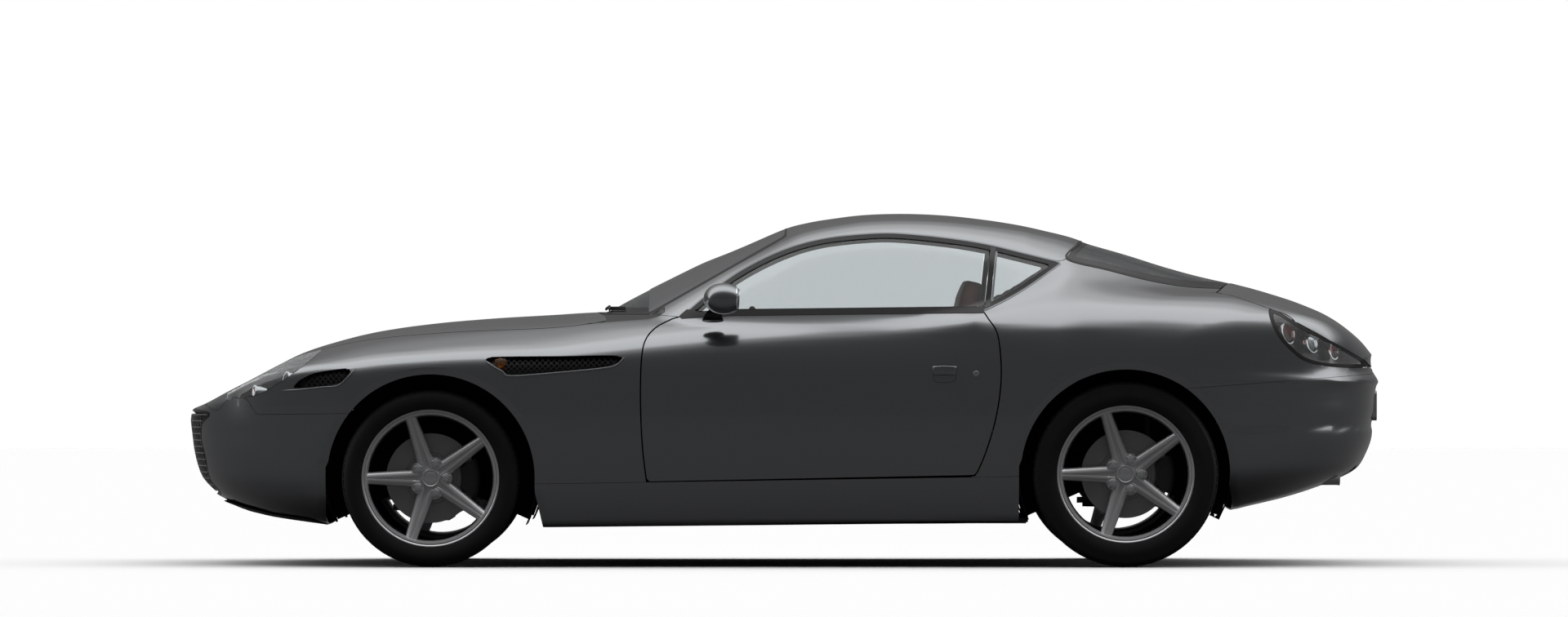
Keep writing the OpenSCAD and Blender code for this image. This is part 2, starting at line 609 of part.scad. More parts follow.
rail_y = 300;
rail_w = 60;
rail_z = 262;
rail_h = 90;
post_y = 440;
arm_t = 22;
// A wishbone from two pivots at the subframe to the upright, flat at height z
module wishbone(x, inner_y, outer_y, z) translate([x, 0, z]) linear_extrude(arm_t) difference() {
    polygon([[-150, -inner_y], [-150, -inner_y - 34], [-30, -outer_y], [30, -outer_y], [150, -inner_y - 34], [150, -inner_y]]);
    polygon([[-100, -inner_y - 20], [0, -outer_y + 70], [100, -inner_y - 20]]);
}
module damper(x, foot, head) hull() {
    translate([x, -foot[0], foot[1]]) sphere(26, $fn = 16);
    translate([x, -head[0], head[1]]) sphere(26, $fn = 16);
}
module front_suspension() color(metal) {
    translate([front_axle_x - 60, -post_y, 166]) cube([120, 2 * post_y, 12]);
    both_sides() {
        // Tower and its spacer on the chassis rail
        translate([front_axle_x - 50, -post_y, 170]) cube([100, 30, 500]);
        translate([front_axle_x - 50, -post_y, rail_z + 10]) cube([100, post_y - rail_y - rail_w - play, rail_h - 20]);
        wishbone(front_axle_x, 400, king_y + 24, king_low - play - arm_t);
        wishbone(front_axle_x, 420, king_y + 24, king_high + play);
        damper(front_axle_x - 80, [590, 230], [400, 640]);
        translate([front_axle_x - 110, -post_y, 600]) cube([120, 30, 60]);
    }
}
module rear_suspension() color(metal) {
    translate([rear_axle_x - 70, -470, 190]) cube([140, 940, 50]);
    translate([rear_axle_x, 160, 300]) rotate([90, 0, 0]) cylinder(r = 87, h = 320);
    both_sides() {
        translate([rear_axle_x - 60, -470, 190]) cube([120, 30, 180]);
        wishbone(rear_axle_x, 440, king_y + 10, 218);
        wishbone(rear_axle_x, 440, king_y + 10, 440);
        translate([rear_axle_x - 60, -470, 360]) cube([120, 30, 100]);
        translate([rear_axle_x, -king_y, 230]) cylinder(r = king_r + 4, h = 230);
        spindle(1, -1, king_y);
        damper(rear_axle_x + 90, [600, 235], [480, 600]);
        translate([rear_axle_x + 60, -480, 440]) cube([60, 40, 160]);
        // Drive shaft
        translate([rear_axle_x, -king_y, wheel_z[1]]) rotate([-90, 0, 0]) cylinder(r = 18, h = king_y - 100);
    }
}

liner_r = [391, 391];
liner_t = 5;
liner_end = [822, 836];
liner_in = [post_y + play, 500 + play];
module liner(i) translate([wheel_x[i], 0, wheel_z[i]]) rotate([90, 0, 0]) {
    translate([0, 0, liner_in[i]]) linear_extrude(liner_end[i] - liner_in[i]) intersection() {
        difference() {
            circle(liner_r[i]);
            circle(liner_r[i] - liner_t);
        }
        translate([-450, 20]) square([900, 450]);
    }
    // Inner wall on both sides of the suspension
    for (e = [-1, 1]) translate([0, 0, liner_in[i]]) linear_extrude(liner_t) intersection() {
        circle(liner_r[i] - 1);
        translate([e * 270 - 140, 140]) square([280, 400]);
    }
}
module arch_liners() color(black) both_sides() for (i = [0, 1]) liner(i);

// ---- structure and cabin ------------------------------------------------------------
floor_x = [-880, 892];
fire_x = -700;
wall_t = 12;
front_beam_x = -2030;
rear_beam_x = 2085;
tow_r = 8;
tow_depth = 50;
front_tow = [-440, 320];
rear_tow = [420, 435];
// The flat floor, the front rails and the boot floor lie play apart.
module floor_pan() color(black) {
    translate([floor_x[0], -sill_in + play, floor_z]) cube([floor_x[1] - floor_x[0], 2 * (sill_in - play), floor_t]);
    difference() {
        union() {
            for (e = [-1, 1]) translate([front_beam_x, e * (rail_y + rail_w / 2) - rail_w / 2, rail_z])
                cube([fire_x - play - front_beam_x, rail_w, rail_h]);
            for (e = [-1, 1]) translate([floor_x[0], e * (rail_y + rail_w / 2) - rail_w / 2, floor_z + floor_t + play])
                cube([40, rail_w, rail_z - floor_z - floor_t - play]);
            translate([front_beam_x, -480, 280]) cube([60, 960, 80]);
        }
        translate([front_beam_x - 1, front_tow[0], front_tow[1]]) rotate([0, 90, 0]) cylinder(r = tow_r, h = tow_depth + 1);
    }
    // Kick-up, boot floor and rear beam
    difference() {
        union() {
            translate([floor_x[1] + play, -480, floor_z]) cube([wall_t, 960, 240]);
            translate([floor_x[1] + play, play - 440, 388]) cube([rear_beam_x - floor_x[1] - play, 2 * (440 - play), wall_t]);
            translate([rear_beam_x - 60, -480, 388]) cube([60, 960, 90]);
        }
        translate([rear_beam_x + 1, rear_tow[0], rear_tow[1]]) rotate([0, -90, 0]) cylinder(r = tow_r, h = tow_depth + 1);
    }
}

module engine_block() color([0.35, 0.35, 0.37]) translate([-1500, -rail_y + play, 240]) cube([760, 2 * (rail_y - play), 440]);

fire_top = 800;
rear_wall_x = 806;
shelf_z = 868;
shelf_end = 1606;
module bulkheads() color(black) {
    translate([fire_x, -700, floor_z + floor_t + play]) cube([wall_t, 1400, fire_top - floor_z - floor_t]);
    hinge_strap(bonnet_axis, fire_x + wall_t, fire_top - wall_t);
    difference() {
        translate([rear_wall_x, -740, floor_z + floor_t + play]) cube([wall_t, 1480, shelf_z + wall_t - floor_z - floor_t]);
        // Way through to the luggage space
        translate([rear_wall_x - 1, -440, 480]) cube([wall_t + 2, 880, 330]);
    }
    translate([rear_wall_x + wall_t + play, -500, shelf_z]) cube([shelf_end - rear_wall_x - wall_t - play, 1000, wall_t]);
    hinge_strap(lid_axis, shelf_end + play, shelf_z);
    // Posts that carry the door hinges
    both_sides() {
        translate([door_axis[0] - 8, -760, floor_z + floor_t + play]) cube([50, 24, 500]);
        translate([door_axis[0] - 5, door_axis[1], door_pin_z - 23]) cube([10, -door_axis[1] - 750, 46]);
        translate([door_axis[0], door_axis[1], door_pin_z - 55]) cylinder(r = pin_r, h = 110);
    }
}

dash_x = [-470, -180];
dash_half = 580;
module dashboard() color(black) {
    translate([0, dash_half, 0]) rotate([90, 0, 0]) linear_extrude(2 * dash_half) polygon([
        [dash_x[0], 560], [dash_x[1] - 90, 560], [dash_x[1], 690], [dash_x[1] - 10, 800], [dash_x[1] - 70, 850],
        [dash_x[0] + 20, 880], [dash_x[0], 860]]);
    // Column
    translate([-200, -seat_y, 740]) rotate([0, 72, 0]) cylinder(r = 30, h = column_len - play);
    translate([fire_x + wall_t, -60, 560]) cube([dash_x[0] - fire_x - wall_t + 1, 120, 120]);
}
column_len = 120;
module steering_wheel() color(leather) translate([-200, -seat_y, 740]) rotate([0, 72, 0]) translate([0, 0, column_len]) {
    rotate_extrude($fn = 64) translate([steer_d / 2 - 15, 22]) circle(15, $fn = 24);
    difference() {
        union() {
            cylinder(r = 42, h = 26);
            for (a = [-90, 0, 90]) rotate([0, 0, a]) translate([30, -14, 8]) cube([steer_d / 2 - 40, 28, 12]);
        }
    }
}

module centre_tunnel() color(leather) translate([fire_x + wall_t + play, -100, floor_z + floor_t + play])
    rotate([90, 0, 0]) translate([0, 0, -200]) linear_extrude(200) polygon([
        [0, 0], [rear_wall_x - fire_x - wall_t - 2 * play, 0], [rear_wall_x - fire_x - wall_t - 2 * play, 330],
        [500, 330], [260, 360], [0, 360]]);

module seats() color(leather) both_sides() {
    translate([60, -seat_y - seat_w / 2, floor_z + floor_t + play]) cube([500, seat_w, 110]);
    // Cushion and reclined back with its head rest
    translate([40, -seat_y + seat_w / 2, 290]) rotate([90, 0, 0]) linear_extrude(seat_w)
        polygon([[0, 0], [540, 0], [560, 130], [470, 120], [20, 170], [0, 140]]);
    translate([520, -seat_y + seat_w / 2, 420]) rotate([90, 0, 0]) linear_extrude(seat_w)
        polygon([[-40, -20], [70, -20], [205, 520], [100, 530], [-40, 0]]);
    translate([640, -seat_y + 130, 900]) rotate([90, 0, 0]) linear_extrude(260)
        polygon([[0, 0], [72, 0], [92, 140], [70, 165], [30, 165], [-20, 40]]);
}

pipe_y = 340;
pipe_z = 330;
pipe_r = 34;
pipe_end = 2086;
module exhaust() color(metal) both_sides() {
    translate([1600, -pipe_y, pipe_z]) rotate([0, 90, 0]) cylinder(r = 388 - play - pipe_z, h = 300);
    for (e = [-1, 1]) translate([1899, -pipe_y + 42 * e, pipe_z]) rotate([0, 90, 0]) difference() {
        cylinder(r = pipe_r, h = pipe_end - 1899);
        translate([0, 0, 60]) cylinder(r = pipe_r - 3, h = 200);
    }
}

floor_pan();
sills();
front_bumper();
grille();
front_splitter();
front_wing_left();
front_wing_right();
rear_wing_left();
rear_wing_right();
roof();
windscreen();
rear_screen();
quarter_windows();
rear_bumper();
tail_lamps();
headlamps();
dashboard();
centre_tunnel();
seats();
bulkheads();
engine_block();
arch_liners();
front_suspension();
rear_suspension();
exhaust();
cowl();
bonnet();
boot_lid();
door_left();
door_right();
door_glass_left();
door_glass_right();
mirror_left();
mirror_right();
steering_wheel();
knuckle_left();
knuckle_right();
rim_front_left();
rim_front_right();
rim_rear_left();
rim_rear_right();
tyre_front_left();
tyre_front_right();
tyre_rear_left();
tyre_rear_right();
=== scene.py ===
import math
import bpy
import numpy as np
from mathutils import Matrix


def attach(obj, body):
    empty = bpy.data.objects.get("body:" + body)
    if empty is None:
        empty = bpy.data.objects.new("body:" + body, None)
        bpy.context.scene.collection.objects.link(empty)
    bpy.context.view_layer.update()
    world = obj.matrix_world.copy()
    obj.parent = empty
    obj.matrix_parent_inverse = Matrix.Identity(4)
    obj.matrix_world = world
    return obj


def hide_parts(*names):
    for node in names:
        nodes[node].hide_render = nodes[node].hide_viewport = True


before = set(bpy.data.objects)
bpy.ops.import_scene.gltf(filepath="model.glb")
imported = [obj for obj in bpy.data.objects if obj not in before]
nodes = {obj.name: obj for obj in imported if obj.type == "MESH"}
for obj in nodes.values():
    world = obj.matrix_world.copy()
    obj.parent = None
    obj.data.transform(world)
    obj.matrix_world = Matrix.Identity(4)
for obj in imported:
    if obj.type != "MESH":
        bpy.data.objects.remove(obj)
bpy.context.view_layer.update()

mm = 0.001
twoPi = 2 * math.pi

# Body form
# Tables of the form, in mm. The nose points to -X and the left side to -Y.
bodyForm = {
    "deck": [  # x, height at the middle, height at the shoulder
        [-2240, 566, 560], [-2160, 597, 585], [-2080, 640, 625], [-1940, 712, 705], [-1800, 784, 780],
        [-1650, 833, 830], [-1500, 868, 862], [-1300, 896, 884], [-1080, 915, 896], [-860, 928, 902],
        [-680, 938, 915], [-300, 936, 926], [300, 938, 928], [650, 940, 934], [900, 960, 965],
        [1100, 985, 998], [1300, 1008, 1012], [1500, 1022, 1009], [1650, 1027, 1000], [1730, 1017, 985],
        [1870, 984, 950], [1945, 959, 925], [2020, 927, 893], [2090, 880, 850], [2160, 810, 785],
        [2200, 740, 720], [2240, 650, 640]],
    "side": [  # x, half width, height of the crease, lean above the crease
        [-2240, 860, 640, 1.2], [-1900, 868, 700, 1.5], [-1690, 886, 745, 1.6], [-1300, 906, 772, 1.6],
        [-900, 896, 776, 1.35], [-520, 888, 780, 0.95], [0, 884, 786, 0.68], [400, 886, 798, 0.62],
        [620, 892, 812, 0.52], [780, 902, 850, 0.4], [950, 914, 900, 0.45], [1260, 930, 900, 0.5],
        [1600, 918, 880, 0.5], [1900, 900, 840, 0.5], [2240, 880, 800, 0.5]],
    "nose": [  # height, how far forward the face reaches
        [140, -1640], [176, -1890], [205, -2000], [250, -2100], [290, -2150], [324, -2177], [369, -2194],
        [424, -2207], [488, -2215], [530, -2220], [580, -2222], [700, -2222]],
    "tail": [  # height, how far back the tail reaches
        [100, 1400], [200, 1670], [246, 1855], [280, 1966], [331, 2092], [363, 2140], [418, 2172],
        [464, 2189], [498, 2193], [515, 2189], [573, 2200], [620, 2203], [664, 2209], [682, 2221],
        [722, 2197], [800, 2190], [1000, 2190]],
    "roof": [  # x, height of the highest line
        [-1000, 700], [-800, 860], [-674, 930], [-575, 986], [-430, 1060], [-290, 1128], [-145, 1191],
        [0, 1251], [75, 1270], [150, 1283], [290, 1300], [435, 1305], [580, 1300], [720, 1286],
        [865, 1264], [1010, 1234], [1080, 1217], [1155, 1192], [1300, 1150], [1440, 1103], [1585, 1053],
        [1660, 1027], [1800, 975], [2000, 880], [2200, 760]],
    "cabin": [  # x, half width at the belt, lean inwards with height
        [-700, 640, 0.5], [-480, 690, 0.5], [-300, 730, 0.52], [0, 765, 0.54], [300, 777, 0.56],
        [600, 777, 0.6], [800, 772, 0.68], [1000, 745, 0.8], [1200, 700, 0.92], [1400, 630, 1],
        [1600, 540, 1.05], [1800, 420, 1.05]],
    "beltZ": 937, "rayX": 1500, "rayZ": 620, "capLength": 1270}


def curveThrough(rows, column, x):  # cubic pieces with averaged slopes through (row[0], row[column])
    knots = np.array([r[0] for r in rows], float)
    values = np.array([r[column] for r in rows], float)
    ahead = np.minimum(np.arange(len(knots)) + 1, len(knots) - 1)
    behind = np.maximum(np.arange(len(knots)) - 1, 0)
    slopes = (values[ahead] - values[behind]) / (knots[ahead] - knots[behind])
    x = np.clip(x, knots[0], knots[-1])
    i = np.clip(np.searchsorted(knots, x, side="right") - 1, 0, len(knots) - 2)
    h = knots[i + 1] - knots[i]
    u = (x - knots[i]) / h
    return ((2 * u**3 - 3 * u**2 + 1) * values[i] + (u**3 - 2 * u**2 + u) * h * slopes[i]
            + (3 * u**2 - 2 * u**3) * values[i + 1] + (u**3 - u**2) * h * slopes[i + 1])


# Each table is read from close steps afterwards, which is quick.
fine = {}
for tableName, pitch in (("deck", 10), ("side", 10), ("nose", 4), ("tail", 4), ("roof", 10), ("cabin", 10)):
    rows = bodyForm[tableName]
    at = np.arange(rows[0][0], rows[-1][0] + pitch, pitch)
    for column in range(1, len(rows[0])):
        fine[tableName, column] = (at, curveThrough(rows, column, at))


def look(tableName, column, x):
    return np.interp(x, *fine[tableName, column])


def smoothMax(a, b, k):  # the larger of a and b, rounded where they are within k
    h = np.maximum(k - np.abs(a - b), 0) / k
    return np.maximum(a, b) + h * h * k / 4


def smoothMin(a, b, k):
    return -smoothMax(-a, -b, k)


def ease(a, b, x):
    t = np.clip((x - a) / (b - a), 0, 1)
    return t * t * (3 - 2 * t)


def formAt(p):  # below zero inside the body, about the distance to its surface in mm
    x, y, z = p[..., 0], np.abs(p[..., 1]), p[..., 2]
    w, crease, lean = look("side", 1, x), look("side", 2, x), look("side", 3, x)
    middle, shoulder = look("deck", 1, x), look("deck", 2, x)
    q = np.clip(y / (0.74 * w), 0, 1.25)
    valley = 14 * np.exp(-((q - 0.58) / 0.2)**2) * ease(-2100, -1700, x) * (1 - ease(-800, -650, x))
    top = (z - (middle + (shoulder - middle) * q * q - valley)) * 0.96
    flank = y - (w - 0.00036 * (z - 560)**2)
    upper = (y - (w + (crease - z) * lean)) / np.sqrt(1 + lean * lean)
    round1 = np.interp(x, [-2240, -1700, -700, 700, 1000, 2240], [160, 190, 150, 60, 230, 200])
    low = smoothMax(top, smoothMax(flank, upper, 50), round1)
    front = (look("nose", 1, z) + 600 * (y / 885)**3.2 - x) / np.sqrt(1 + (2.17 * (y / 885)**2.2)**2)
    back = (x - look("tail", 1, z) + 600 * (y / 900)**4) / np.sqrt(1 + (2.67 * (y / 900)**3)**2)
    low = smoothMax(low, front, np.interp(z, [300, 500, 620], [90, 40, 30]))
    low = smoothMax(low, back, 60)
    low = smoothMax(low, np.interp(x, [-1650, -850, 1240, 1660], [146, 146, 166, 190]) - z, 20)
    sweep = (np.interp(x, [-700, 0, 300], [185, 60, 0]) * (y / 640)**2
             - np.interp(x, [900, 1100], [0, 60]) * (y / 560)**2)
    bubble = (24 * np.interp(x, [-300, 150, 1300, 1700], [0, 1, 1, 0.3])
              * (1 - np.clip(y / 280, 0, 1)**2)**1.5)
    crown = (np.interp(x, [-700, 0, 900, 1200, 1700], [20, 50, 60, 90, 60])
             * np.clip((y - 250) / 350, 0, 2)**2)
    slope = np.interp(x, [-700, -50, 150, 1000, 1150], [0.5, 0.45, 0.1, 0.2, 0.33])
    roofTop = (z - (look("roof", 1, x - sweep) - bubble - crown)) / np.sqrt(1 + slope * slope)
    lean2 = look("cabin", 2, x)
    beltZ = bodyForm["beltZ"]
    wall = (y - (look("cabin", 1, x) - lean2 * (np.maximum(z,
                                                           beltZ - 57) - beltZ))) / np.sqrt(1 + lean2 * lean2)
    round2 = np.interp(x, [-700, -100, 300, 1100, 1300], [60, 80, 90, 90, 70])
    cabin = np.maximum(smoothMax(roofTop, wall, round2), beltZ - 137 - z)
    return smoothMin(low, cabin, np.interp(x, [-700, 500, 800, 1100, 1700], [14, 14, 50, 150, 90]))


def normalAt(p):  # unit gradient of the form by central differences
    g = np.empty_like(p)
    for axis in range(3):
        d = np.zeros(3)
        d[axis] = 2.5
        g[..., axis] = formAt(p + d) - formAt(p - d)
    return g / np.maximum(np.linalg.norm(g, axis=-1, keepdims=True), 1e-9)


def castRays(s, t, level=0.0):  # points where rays from the middle line meet a level of the form
    s, t = np.broadcast_arrays(s, t)
    rayX, cap = bodyForm["rayX"], bodyForm["capLength"]
    a = np.where(s < -rayX, (-rayX - s) / cap, np.where(s > rayX, (rayX - s) / cap, 0)) * math.pi / 2
    origin = np.stack([np.clip(s, -rayX, rayX), 0 * s, 0 * s + bodyForm["rayZ"]], -1)
    toward = np.stack([-np.sin(a), -np.cos(a) * np.cos(t), np.cos(a) * np.sin(t)], -1)
    near, far = np.full(s.shape, 60.0), np.full(s.shape, 1260.0)
    for _ in range(18):
        middle = (near + far) / 2
        inside = formAt(origin + toward * middle[..., None]) < level
        near, far = np.where(inside, middle, near), np.where(inside, far, middle)
    return origin + toward * ((near + far) / 2)[..., None]


# Mesh helpers
def gridFaces(rowsCount, columnsCount, closedColumns=False):  # two triangles for each cell of a grid
    i, j = np.meshgrid(np.arange(rowsCount - 1), np.arange(columnsCount if closedColumns else columnsCount - 1),
                       indexing="ij")
    k = (j + 1) % columnsCount
    a, b, c, d = (i * columnsCount + j, i * columnsCount + k, (i + 1) * columnsCount + k,
                  (i + 1) * columnsCount + j)
    return np.concatenate([np.stack([a, b, c], -1).reshape(-1, 3), np.stack([a, c, d], -1).reshape(-1, 3)])


def merged(v, f, grain=1e-3):  # joins vertices that fall together and drops flat triangles
    keys = np.round(v / grain).astype(np.int64)
    _, first, back = np.unique(keys, axis=0, return_index=True, return_inverse=True)
    f = back.reshape(-1)[f]
    keep = (f[:, 0] != f[:, 1]) & (f[:, 1] != f[:, 2]) & (f[:, 2] != f[:, 0])
    return v[first], f[keep]


def clipped(v, f, d):  # the part of a triangle mesh where d < 0, cut straight across each triangle
    d = np.where(np.abs(d) < 1e-6, 1e-6, d)
    inside = d < 0
    count = inside[f].sum(1)
    whole = f[count == 3]
    pieces, fresh, total = [whole], [], len(v)
    for n in (1, 2):
        g = f[count == n]
        if not len(g):
            continue
        lone = inside[g] if n == 1 else ~inside[g]
        k = lone.argmax(1)
        rowsAt = np.arange(len(g))
        a, b, c = g[rowsAt, k], g[rowsAt, (k + 1) % 3], g[rowsAt, (k + 2) % 3]
        cuts = []
        for e in (b, c):
            lo, hi = np.minimum(a, e), np.maximum(a, e)
            u = d[lo] / (d[lo] - d[hi])
            fresh.append(v[lo] + (v[hi] - v[lo]) * u[:, None])
            cuts.append(np.arange(total, total + len(g)))
            total += len(g)
        if n == 1:
            pieces.append(np.stack([a, cuts[0], cuts[1]], -1))
        else:
            pieces.append(np.stack([cuts[0], b, c], -1))
            pieces.append(np.stack([cuts[0], c, cuts[1]], -1))
    v = np.concatenate([v] + fresh)
    f = np.concatenate(pieces)
    used, back = np.unique(f, return_inverse=True)
    return merged(v[used], back.reshape(-1, 3))


def edgeLoops(f):  # edges that only one triangle has, in its direction
    e = np.concatenate([f[:, [0, 1]], f[:, [1, 2]], f[:, [2, 0]]])
    size = f.max() + 1
    key, mirrorKey = e[:, 0] * size + e[:, 1], e[:, 1] * size + e[:, 0]
    return e[~np.isin(key, mirrorKey)]


def thickened(v, f, n, depth):  # closed shell: v, a copy depth deeper along -n, and a wall round the edge
    count = len(v)
    edge = edgeLoops(f)
    inner = v - n * depth
    wall = np.concatenate([
        np.stack([edge[:, 1], edge[:, 0], edge[:, 0] + count], -1),
        np.stack([edge[:, 1], edge[:, 0] + count, edge[:, 1] + count], -1)])
    faces = np.concatenate([f, f[:, ::-1] + count, wall])
    loopNormals = np.concatenate([n[f].reshape(-1, 3), -n[f[:, ::-1]].reshape(-1, 3)])
    allV = np.concatenate([v, inner])
    w = allV[wall]
    wn = np.cross(w[:, 1] - w[:, 0], w[:, 2] - w[:, 0])
    wn /= np.maximum(np.linalg.norm(wn, axis=1, keepdims=True), 1e-9)
    return allV, faces, np.concatenate([loopNormals, np.repeat(wn, 3, axis=0)])


def makeObject(name, v, faces, material, loopNormals=None, smooth=True):
    mesh = bpy.data.meshes.new(name)
    v = np.asarray(v, float) * mm
    if isinstance(faces, np.ndarray):
        mesh.vertices.add(len(v))
        mesh.vertices.foreach_set("co", v.ravel())
        mesh.loops.add(faces.size)
        mesh.loops.foreach_set("vertex_index", faces.ravel().astype(np.int32))
        mesh.polygons.add(len(faces))
        mesh.polygons.foreach_set("loop_start", np.arange(0, faces.size, faces.shape[1], dtype=np.int32))
        mesh.update(calc_edges=True)
    else:
        mesh.from_pydata(v.tolist(), [], faces)
    mesh.validate()
    mesh.polygons.foreach_set("use_smooth", np.full(len(mesh.polygons), smooth))
    if loopNormals is not None and len(mesh.loops) == len(loopNormals):
        mesh.normals_split_custom_set(loopNormals.tolist())
    mesh.materials.append(material)
    obj = bpy.data.objects.new(name, mesh)
    bpy.context.scene.collection.objects.link(obj)
    return obj


def place(obj, body, slot, *replaced):
    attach(obj, body)
    if replaced:
        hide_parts(*replaced)
    return obj


def joined(parts):  # several (vertices, faces, loop normals) as one
    offset, vs, fs, ns = 0, [], [], []
    for v, f, n in parts:
        vs.append(v)
        fs.append(f + offset)
        ns.append(n)
        offset += len(v)
    return np.concatenate(vs), np.concatenate(fs), np.concatenate(ns)


def faceNormals(v, f):  # one normal for each corner, flat
    w = v[f]
    n = np.cross(w[:, 1] - w[:, 0], w[:, 2] - w[:, 0])
    return np.repeat(n / np.maximum(np.linalg.norm(n, axis=1, keepdims=True), 1e-9), 3, axis=0)


def mirroredPart(part):  # the same on the other side of the car
    v, f, n = part
    flip = np.array([1, -1, 1])
    return v * flip, f[:, ::-1], (n.reshape(-1, 3, 3)[:, ::-1] * flip).reshape(-1, 3)


def profileNormals(profile, limit=40):  # normals at both ends of each side, shared where the bend is slight
    p = np.asarray(profile, float)
    e = np.roll(p, -1, axis=0) - p
    n = np.stack([e[:, 1], -e[:, 0]], -1)
    n /= np.maximum(np.linalg.norm(n, axis=1, keepdims=True), 1e-9)
    before = np.roll(n, 1, axis=0)
    soft = ((n * before).sum(1) > math.cos(math.radians(limit)))[:, None]
    mean = n + before
    mean /= np.maximum(np.linalg.norm(mean, axis=1, keepdims=True), 1e-9)
    start = np.where(soft, mean, n)
    end = np.where(np.roll(soft, -1, axis=0), np.roll(mean, -1, axis=0), n)
    return start, end


def revolved(profile, steps=96, limit=40):
    # x = r cos a, y = r sin a, z = h for a closed profile of (r, h), anticlockwise in the r-h plane
    p = np.asarray(profile, float)
    count = len(p)
    a = np.arange(steps) / steps * twoPi
    c, s = np.cos(a)[:, None], np.sin(a)[:, None]
    v = np.stack([c * p[:, 0], s * p[:, 0], np.ones_like(c) * p[:, 1]], -1).reshape(-1, 3)
    i, j = np.meshgrid(np.arange(steps), np.arange(count), indexing="ij")
    i2, j2 = (i + 1) % steps, (j + 1) % count
    quads = np.stack([i * count + j, i2 * count + j, i2 * count + j2, i * count + j2], -1).reshape(-1, 4)
    start, end = profileNormals(p, limit)

    def turned(n, turn):
        return np.stack([np.cos(a[turn]) * n[..., 0], np.sin(a[turn]) * n[..., 0], n[..., 1]], -1)
    normals = np.stack([turned(start[j], i), turned(start[j], i2), turned(end[j], i2), turned(end[j], i)], 2)
    normals = normals.reshape(-1, 4, 3)
    f = np.concatenate([quads[:, [0, 1, 2]], quads[:, [0, 2, 3]]])
    n = np.concatenate([normals[:, [0, 1, 2]], normals[:, [0, 2, 3]]])
    flat = (v[f[:, 0]] - v[f[:, 1]]).any(1) & (v[f[:, 1]] - v[f[:, 2]]).any(1) & (v[f[:, 2]] - v[f[:,
                                                                                                   0]]).any(1)
    return v, f[flat], n[flat].reshape(-1, 3)


def gridShell(p, closed=True, capped=True):
    # closed surface through a grid of points: rows along a path, columns round it, with flat ends
    rowsCount, columnsCount = p.shape[:2]
    v = p.reshape(-1, 3)
    f = gridFaces(rowsCount, columnsCount, closed)
    parts = [f]
    if capped:
        for row in (0, rowsCount - 1):
            ring = row * columnsCount + np.arange(columnsCount)
            v = np.concatenate([v, v[ring].mean(0)[None]])
            tip = len(v) - 1
            cap = np.stack([np.roll(ring, -1), ring, np.full(columnsCount, tip)], -1)
            parts.append(cap if row == 0 else cap[:, ::-1])
    f = np.concatenate(parts)
    w = v[f]
    volume = (w[:, 0] * np.cross(w[:, 1], w[:, 2])).sum()
    return v, f if volume > 0 else f[:, ::-1]


def softNormals(v, f, limit=35):  # corner normals averaged over faces that meet within a limit
    w = v[f]
    n = np.cross(w[:, 1] - w[:, 0], w[:, 2] - w[:, 0])
    area = np.linalg.norm(n, axis=1, keepdims=True)
    unit = n / np.maximum(area, 1e-9)
    vertexSum = np.zeros_like(v)
    for k in range(3):
        np.add.at(vertexSum, f[:, k], n)
    mean = vertexSum / np.maximum(np.linalg.norm(vertexSum, axis=1, keepdims=True), 1e-9)
    corner = mean[f]
    sharp = (corner * unit[:, None]).sum(-1) < math.cos(math.radians(limit))
    return np.where(sharp[..., None], unit[:, None], corner).reshape(-1, 3)


def shellPart(p, closed=True, limit=35):
    v, f = gridShell(p, closed)
    return v, f, softNormals(v, f, limit)


def turnedAbout(part, angle):
    c, s = math.cos(angle), math.sin(angle)
    m = np.array([[c, -s, 0], [s, c, 0], [0, 0, 1]])
    v, f, n = part
    return v @ m.T, f, n @ m.T


def shifted(part, x, y, z=0.0):
    v, f, n = part
    return v + np.array([x, y, z]), f, n


def ribbon(points, across, profile, closedPath=False):
    # profile (a, b) carried along a path of points: a along the across direction, b along the third one
    p = np.asarray(points, float)
    t = np.gradient(p, axis=0)
    if closedPath:
        t = np.roll(p, -1, axis=0) - np.roll(p, 1, axis=0)
    t /= np.maximum(np.linalg.norm(t, axis=1, keepdims=True), 1e-9)
    a = np.asarray(across, float)
    a = np.broadcast_to(a, p.shape) - (np.broadcast_to(a, p.shape) * t).sum(1, keepdims=True) * t
    a /= np.maximum(np.linalg.norm(a, axis=1, keepdims=True), 1e-9)
    b = np.cross(t, a)
    q = np.asarray(profile, float)
    g = p[:, None] + a[:, None] * q[None, :, :1] + b[:, None] * q[None, :, 1:2]
    if closedPath:
        g = np.concatenate([g, g[:1]])
        v = g[:-1].reshape(-1, 3)
        rowsCount, columnsCount = g.shape[0] - 1, g.shape[1]
        f = gridFaces(rowsCount + 1, columnsCount, True) % (rowsCount * columnsCount)
        w = v[f]
        if (w[:, 0] * np.cross(w[:, 1], w[:, 2])).sum() < 0:
            f = f[:, ::-1]
        return v, f, softNormals(v, f, 35)
    return shellPart(g, limit=35)


def roundProfile(a, b, count=12, power=2.0):  # superellipse |x/a|^power + |y/b|^power = 1
    t = np.arange(count) / count * twoPi
    c, s = np.cos(t), np.sin(t)
    return np.stack([a * np.sign(c) * np.abs(c)**(2 / power), b * np.sign(s) * np.abs(s)**(2 / power)], -1)


def aimed(part, origin, direction, up=(0, 0, 1)):  # a part whose local z turns to point along direction
    d = np.asarray(direction, float) / np.linalg.norm(direction)
    a = np.cross(up, d)
    a /= np.linalg.norm(a)
    m = np.stack([a, np.cross(d, a), d], -1)
    v, f, n = part
    return v @ m.T + np.asarray(origin, float), f, n @ m.T


def superOutline(low, high, power=4.0, count=28):
    c, h = (np.array(low) + high) / 2, (np.array(high) - low) / 2
    return c + roundProfile(h[0], h[1], count, power)


